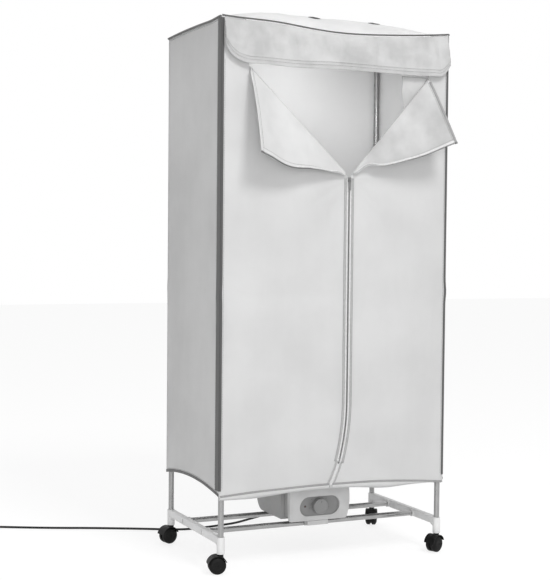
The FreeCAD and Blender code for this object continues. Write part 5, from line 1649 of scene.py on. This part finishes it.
# ---- Mains lead --------------------------------------------------------------------------------
@dataclass
class MainsLead:
    """The lead from the unit's back: along the floor, then put away in a coil."""

    finishes: Finishes
    diameter: float = 7.0 * MM
    length: float = 2.122
    low: float = 3.8 * MM
    coil_radius: float = 38.5 * MM
    coil_pitch: float = 7.8 * MM
    coil_layer: float = 7.9 * MM
    turns: float = 3.5
    lead_in: float = 9.0 * MM
    tail: float = 26.0 * MM
    per_turn: int = 20

    def route(self) -> list[Vector]:
        """The route's own points, from the gland to the coil."""
        rows = (
            (50, 140, 128), (50, 180, 128), (54, 226, 112), (60, 272, 80), (62, 318, 46),
            (46, 368, 20), (-8, 390, 3.8), (-66, 356, 3.8), (-122, 344, 3.8), (-178, 334, 3.8),
            (-238, 328, 3.8), (-292, 346, 3.8), (-352, 380, 3.8), (-436, 422, 3.8), (-524, 464, 3.8),
            (-612, 500, 3.8), (-708, 547, 3.8), (-803, 598, 3.8), (-861, 614, 3.8),
        )
        return [Vector(row) * MM for row in rows]

    def coil(self, last: Vector, heading: Vector) -> list[Vector]:
        """The coil's points and its tail.

        Args:
            last: The route's last point.
            heading: The direction in which it arrives.

        Returns:
            The points in order.
        """
        outer = self.coil_radius + self.coil_pitch * self.turns / 4
        start = math.atan2(heading.x, -heading.y)
        first = Vector((math.cos(start), math.sin(start), 0.0))
        centre = last + heading * self.lead_in - first * outer
        points = []
        count = round(self.turns * self.per_turn)
        for i in range(count + 1):
            turn = self.turns * i / count
            inward = turn if turn <= self.turns / 2 else self.turns - turn
            radius = self.coil_radius + self.coil_pitch * (self.turns / 4 - inward)
            climb = min(max((turn - 1.5) / 0.5, 0.0), 1.0)
            height = self.low + self.coil_layer * (3 * climb**2 - 2 * climb**3)
            angle = start - 2 * math.pi * turn
            x, y = centre.x + radius * math.cos(angle), centre.y + radius * math.sin(angle)
            points.append(Vector((x, y, height)))
        angle = start - 2 * math.pi * self.turns
        along = Vector((math.sin(angle), -math.cos(angle), 0.0))
        return points + [points[-1] + along * self.tail * share for share in (0.5, 1.0)]

    def build(self) -> None:
        """Make the lead and its tie."""
        route = self.route()
        heading = (route[-1] - route[-2]).normalized()
        coil = self.coil(route[-1], heading)
        points = route + coil
        curve = bpy.data.curves.new("mains_lead", "CURVE")
        curve.dimensions = "3D"
        curve.bevel_depth = self.diameter / 2
        curve.bevel_resolution = 5
        curve.use_fill_caps = True
        curve.resolution_u = 8
        spline = curve.splines.new("NURBS")
        spline.points.add(len(points) - 1)
        for control, place in zip(spline.points, points):
            control.co = (*place, 1.0)
        spline.order_u = 3
        spline.use_endpoint_u = True
        curve.materials.append(self.finishes.lead)
        lead = bpy.data.objects.new("mains_lead", curve)
        bpy.context.scene.collection.objects.link(lead)
        tie = self.tie(coil)
        for made in (lead, tie):
            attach(made, Body.CABINET.value)
        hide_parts("power_cord", "power_cord_coil")

    def tie(self, coil: Sequence[Vector]) -> bpy.types.Object:
        """The strap that holds the coil's turns together."""
        turns = coil[: round(self.turns * self.per_turn) + 1]
        centre = sum((p for p in turns[: self.per_turn]), Vector()) / self.per_turn
        near = turns[round(self.per_turn * 0.75)] - centre
        out = Vector((near.x, near.y, 0.0)).normalized()
        middle = Vector((centre.x, centre.y, 0.0)) + out * (self.coil_radius)
        half, top, low, corner = 12.4 * MM, 15.7 * MM, 0.25 * MM, 4.2 * MM
        path = []
        for cx, cz, from_angle in (
            (half - corner, top - corner, 0.0), (-half + corner, top - corner, 90.0),
            (-half + corner, low + corner, 180.0), (half - corner, low + corner, 270.0),
        ):
            for k in range(6):
                a = math.radians(from_angle + 90 * k / 5)
                rise = Vector((0, 0, cz + corner * math.sin(a)))
                path.append(middle + out * (cx + corner * math.cos(a)) + rise)
        hub = middle + Vector((0, 0, (top + low) / 2))
        profile = strip_profile(9 * MM, 0.2 * MM)
        points, faces = sweep(path, profile, lambda i: path[i] - hub, closed=True)
        return piece("lead_tie", points, faces, self.finishes.binding)


# ---- Studio ------------------------------------------------------------------------------------
@dataclass(frozen=True)
class Studio:
    """Camera, floor, world and lamps."""

    place: tuple[float, float, float] = (-1.6738, -3.4603, 0.9124)
    azimuth: float = 24.505
    pitch: float = 2.224
    roll: float = 0.520
    lens: float = 80.82
    ambient: float = 0.60
    key_power: float = 118.0
    fill_power: float = 75.0
    inside_power: float = 0.65
    floor_reach: float = 14.0

    def camera(self) -> None:
        """Set the camera at the photograph's place and angle."""
        a, e, r = (math.radians(v) for v in (self.azimuth, self.pitch, self.roll))
        ahead = Vector((math.sin(a) * math.cos(e), math.cos(a) * math.cos(e), -math.sin(e)))
        right = ahead.cross(Vector((0, 0, 1))).normalized()
        up = right.cross(ahead)
        across = right * math.cos(r) + up * math.sin(r)
        above = up * math.cos(r) - right * math.sin(r)
        data = bpy.data.cameras.new("camera")
        data.lens = self.lens
        data.sensor_width = 36.0
        data.clip_end = 60.0
        made = bpy.data.objects.new("camera", data)
        turn = Matrix((across, above, -ahead)).transposed()
        made.matrix_world = Matrix.Translation(Vector(self.place)) @ turn.to_4x4()
        bpy.context.scene.collection.objects.link(made)
        bpy.context.scene.camera = made

    def world(self) -> None:
        """White behind the object, and a plain level of light from all round."""
        world = bpy.data.worlds.new("studio")
        world.use_nodes = True
        tree = world.node_tree
        tree.nodes.clear()
        path = tree.nodes.new("ShaderNodeLightPath")
        seen = tree.nodes.new("ShaderNodeMath")
        seen.operation = "MAXIMUM"
        tree.links.new(path.outputs["Is Camera Ray"], seen.inputs[0])
        tree.links.new(path.outputs["Is Glossy Ray"], seen.inputs[1])
        also = tree.nodes.new("ShaderNodeMath")
        also.operation = "MAXIMUM"
        tree.links.new(seen.outputs[0], also.inputs[0])
        tree.links.new(path.outputs["Is Transmission Ray"], also.inputs[1])
        level = tree.nodes.new("ShaderNodeMapRange")
        tree.links.new(also.outputs[0], level.inputs[0])
        level.inputs[3].default_value = self.ambient
        level.inputs[4].default_value = 1.0
        light = tree.nodes.new("ShaderNodeBackground")
        light.inputs["Color"].default_value = (1, 1, 1, 1)
        tree.links.new(level.outputs[0], light.inputs["Strength"])
        output = tree.nodes.new("ShaderNodeOutputWorld")
        tree.links.new(light.outputs[0], output.inputs["Surface"])
        bpy.context.scene.world = world

    def floor(self) -> None:
        """A white floor that keeps a faint shadow."""
        g = Graph("studio_floor")
        g.feed(g.shader.inputs["Base Color"], grey(0.9))
        g.feed(g.shader.inputs["Roughness"], 0.9)
        glow = g.node("ShaderNodeEmission", Color=grey(1.0), Strength=1.1)
        path = g.node("ShaderNodeLightPath")
        seen = g.math("MAXIMUM", path.outputs["Is Camera Ray"], path.outputs["Is Glossy Ray"])
        mixed = g.tree.nodes.new("ShaderNodeMixShader")
        g.link(g.math("MULTIPLY", seen, 0.72), mixed.inputs[0])
        g.link(g.shader.outputs[0], mixed.inputs[1])
        g.link(glow.outputs[0], mixed.inputs[2])
        g.link(mixed.outputs[0], g.output.inputs["Surface"])
        r = self.floor_reach
        points = [Vector((x, y, -0.0005)) for y in spaced(-r, r, 2) for x in spaced(-r, r, 2)]
        piece("floor", points, grid_faces(3, 3), g.material)

    def lamp(self, name: str, place: Point, size: float, power: float, aim: Point = (0, 0, 0.8)) -> None:
        """An area lamp aimed at a place.

        Args:
            name: Its name.
            place: Where it hangs.
            size: Its width and height.
            power: Watts.
            aim: What it points at.
        """
        data = bpy.data.lights.new(name, "AREA")
        data.size = size
        data.energy = power
        made = bpy.data.objects.new(name, data)
        made.location = place
        made.rotation_euler = (Vector(aim) - Vector(place)).to_track_quat("-Z", "Y").to_euler()
        made.visible_camera = False
        bpy.context.scene.collection.objects.link(made)

    def build(self) -> None:
        """Make the camera, the surroundings and the lamps."""
        self.camera()
        self.world()
        self.floor()
        self.lamp("key", (0.4, -3.4, 4.4), 1.2, self.key_power)
        self.lamp("fill", (-2.4, -4.8, 1.3), 2.0, self.fill_power)
        self.lamp("inside", (0.0, -0.06, 1.43), 0.3, self.inside_power, (0.0, 0.2, 1.15))
        bpy.context.scene.view_settings.view_transform = "Standard"


def main() -> None:
    """Build the scene in order: camera and lead first, then frame, unit and cover."""
    logging.basicConfig(level=logging.INFO, format="%(name)s: %(message)s")
    finishes = Finishes.build()
    Studio().build()
    MainsLead(finishes).build()
    Metalwork(finishes).build()
    DialFace(finishes).build()
    shape = CoverShape()
    ClothCover(shape, finishes).build()
    Valance(shape, finishes).build()
    Flap(
        shape, finishes, Side.LEFT, Body.FLAP_LEFT, (-0.2745, -0.300, 1.148), 1.4 * MM,
        sag=(20.0 * MM, 0.33, 0.26), lift=(4.0 * MM, 0.92, 0.07),
    ).build()
    Flap(
        shape, finishes, Side.RIGHT, Body.FLAP_RIGHT, (0.3205, -0.310, 1.1895), 0.95 * MM,
        sag=(7.0 * MM, 0.35, 0.22), lift=(18.0 * MM, 0.87, 0.11),
    ).build()
    Cuff(shape, finishes).build()
    Zip(shape, finishes).build()
    Trims(shape, finishes).build()


if __name__ == "__main__":
    main()
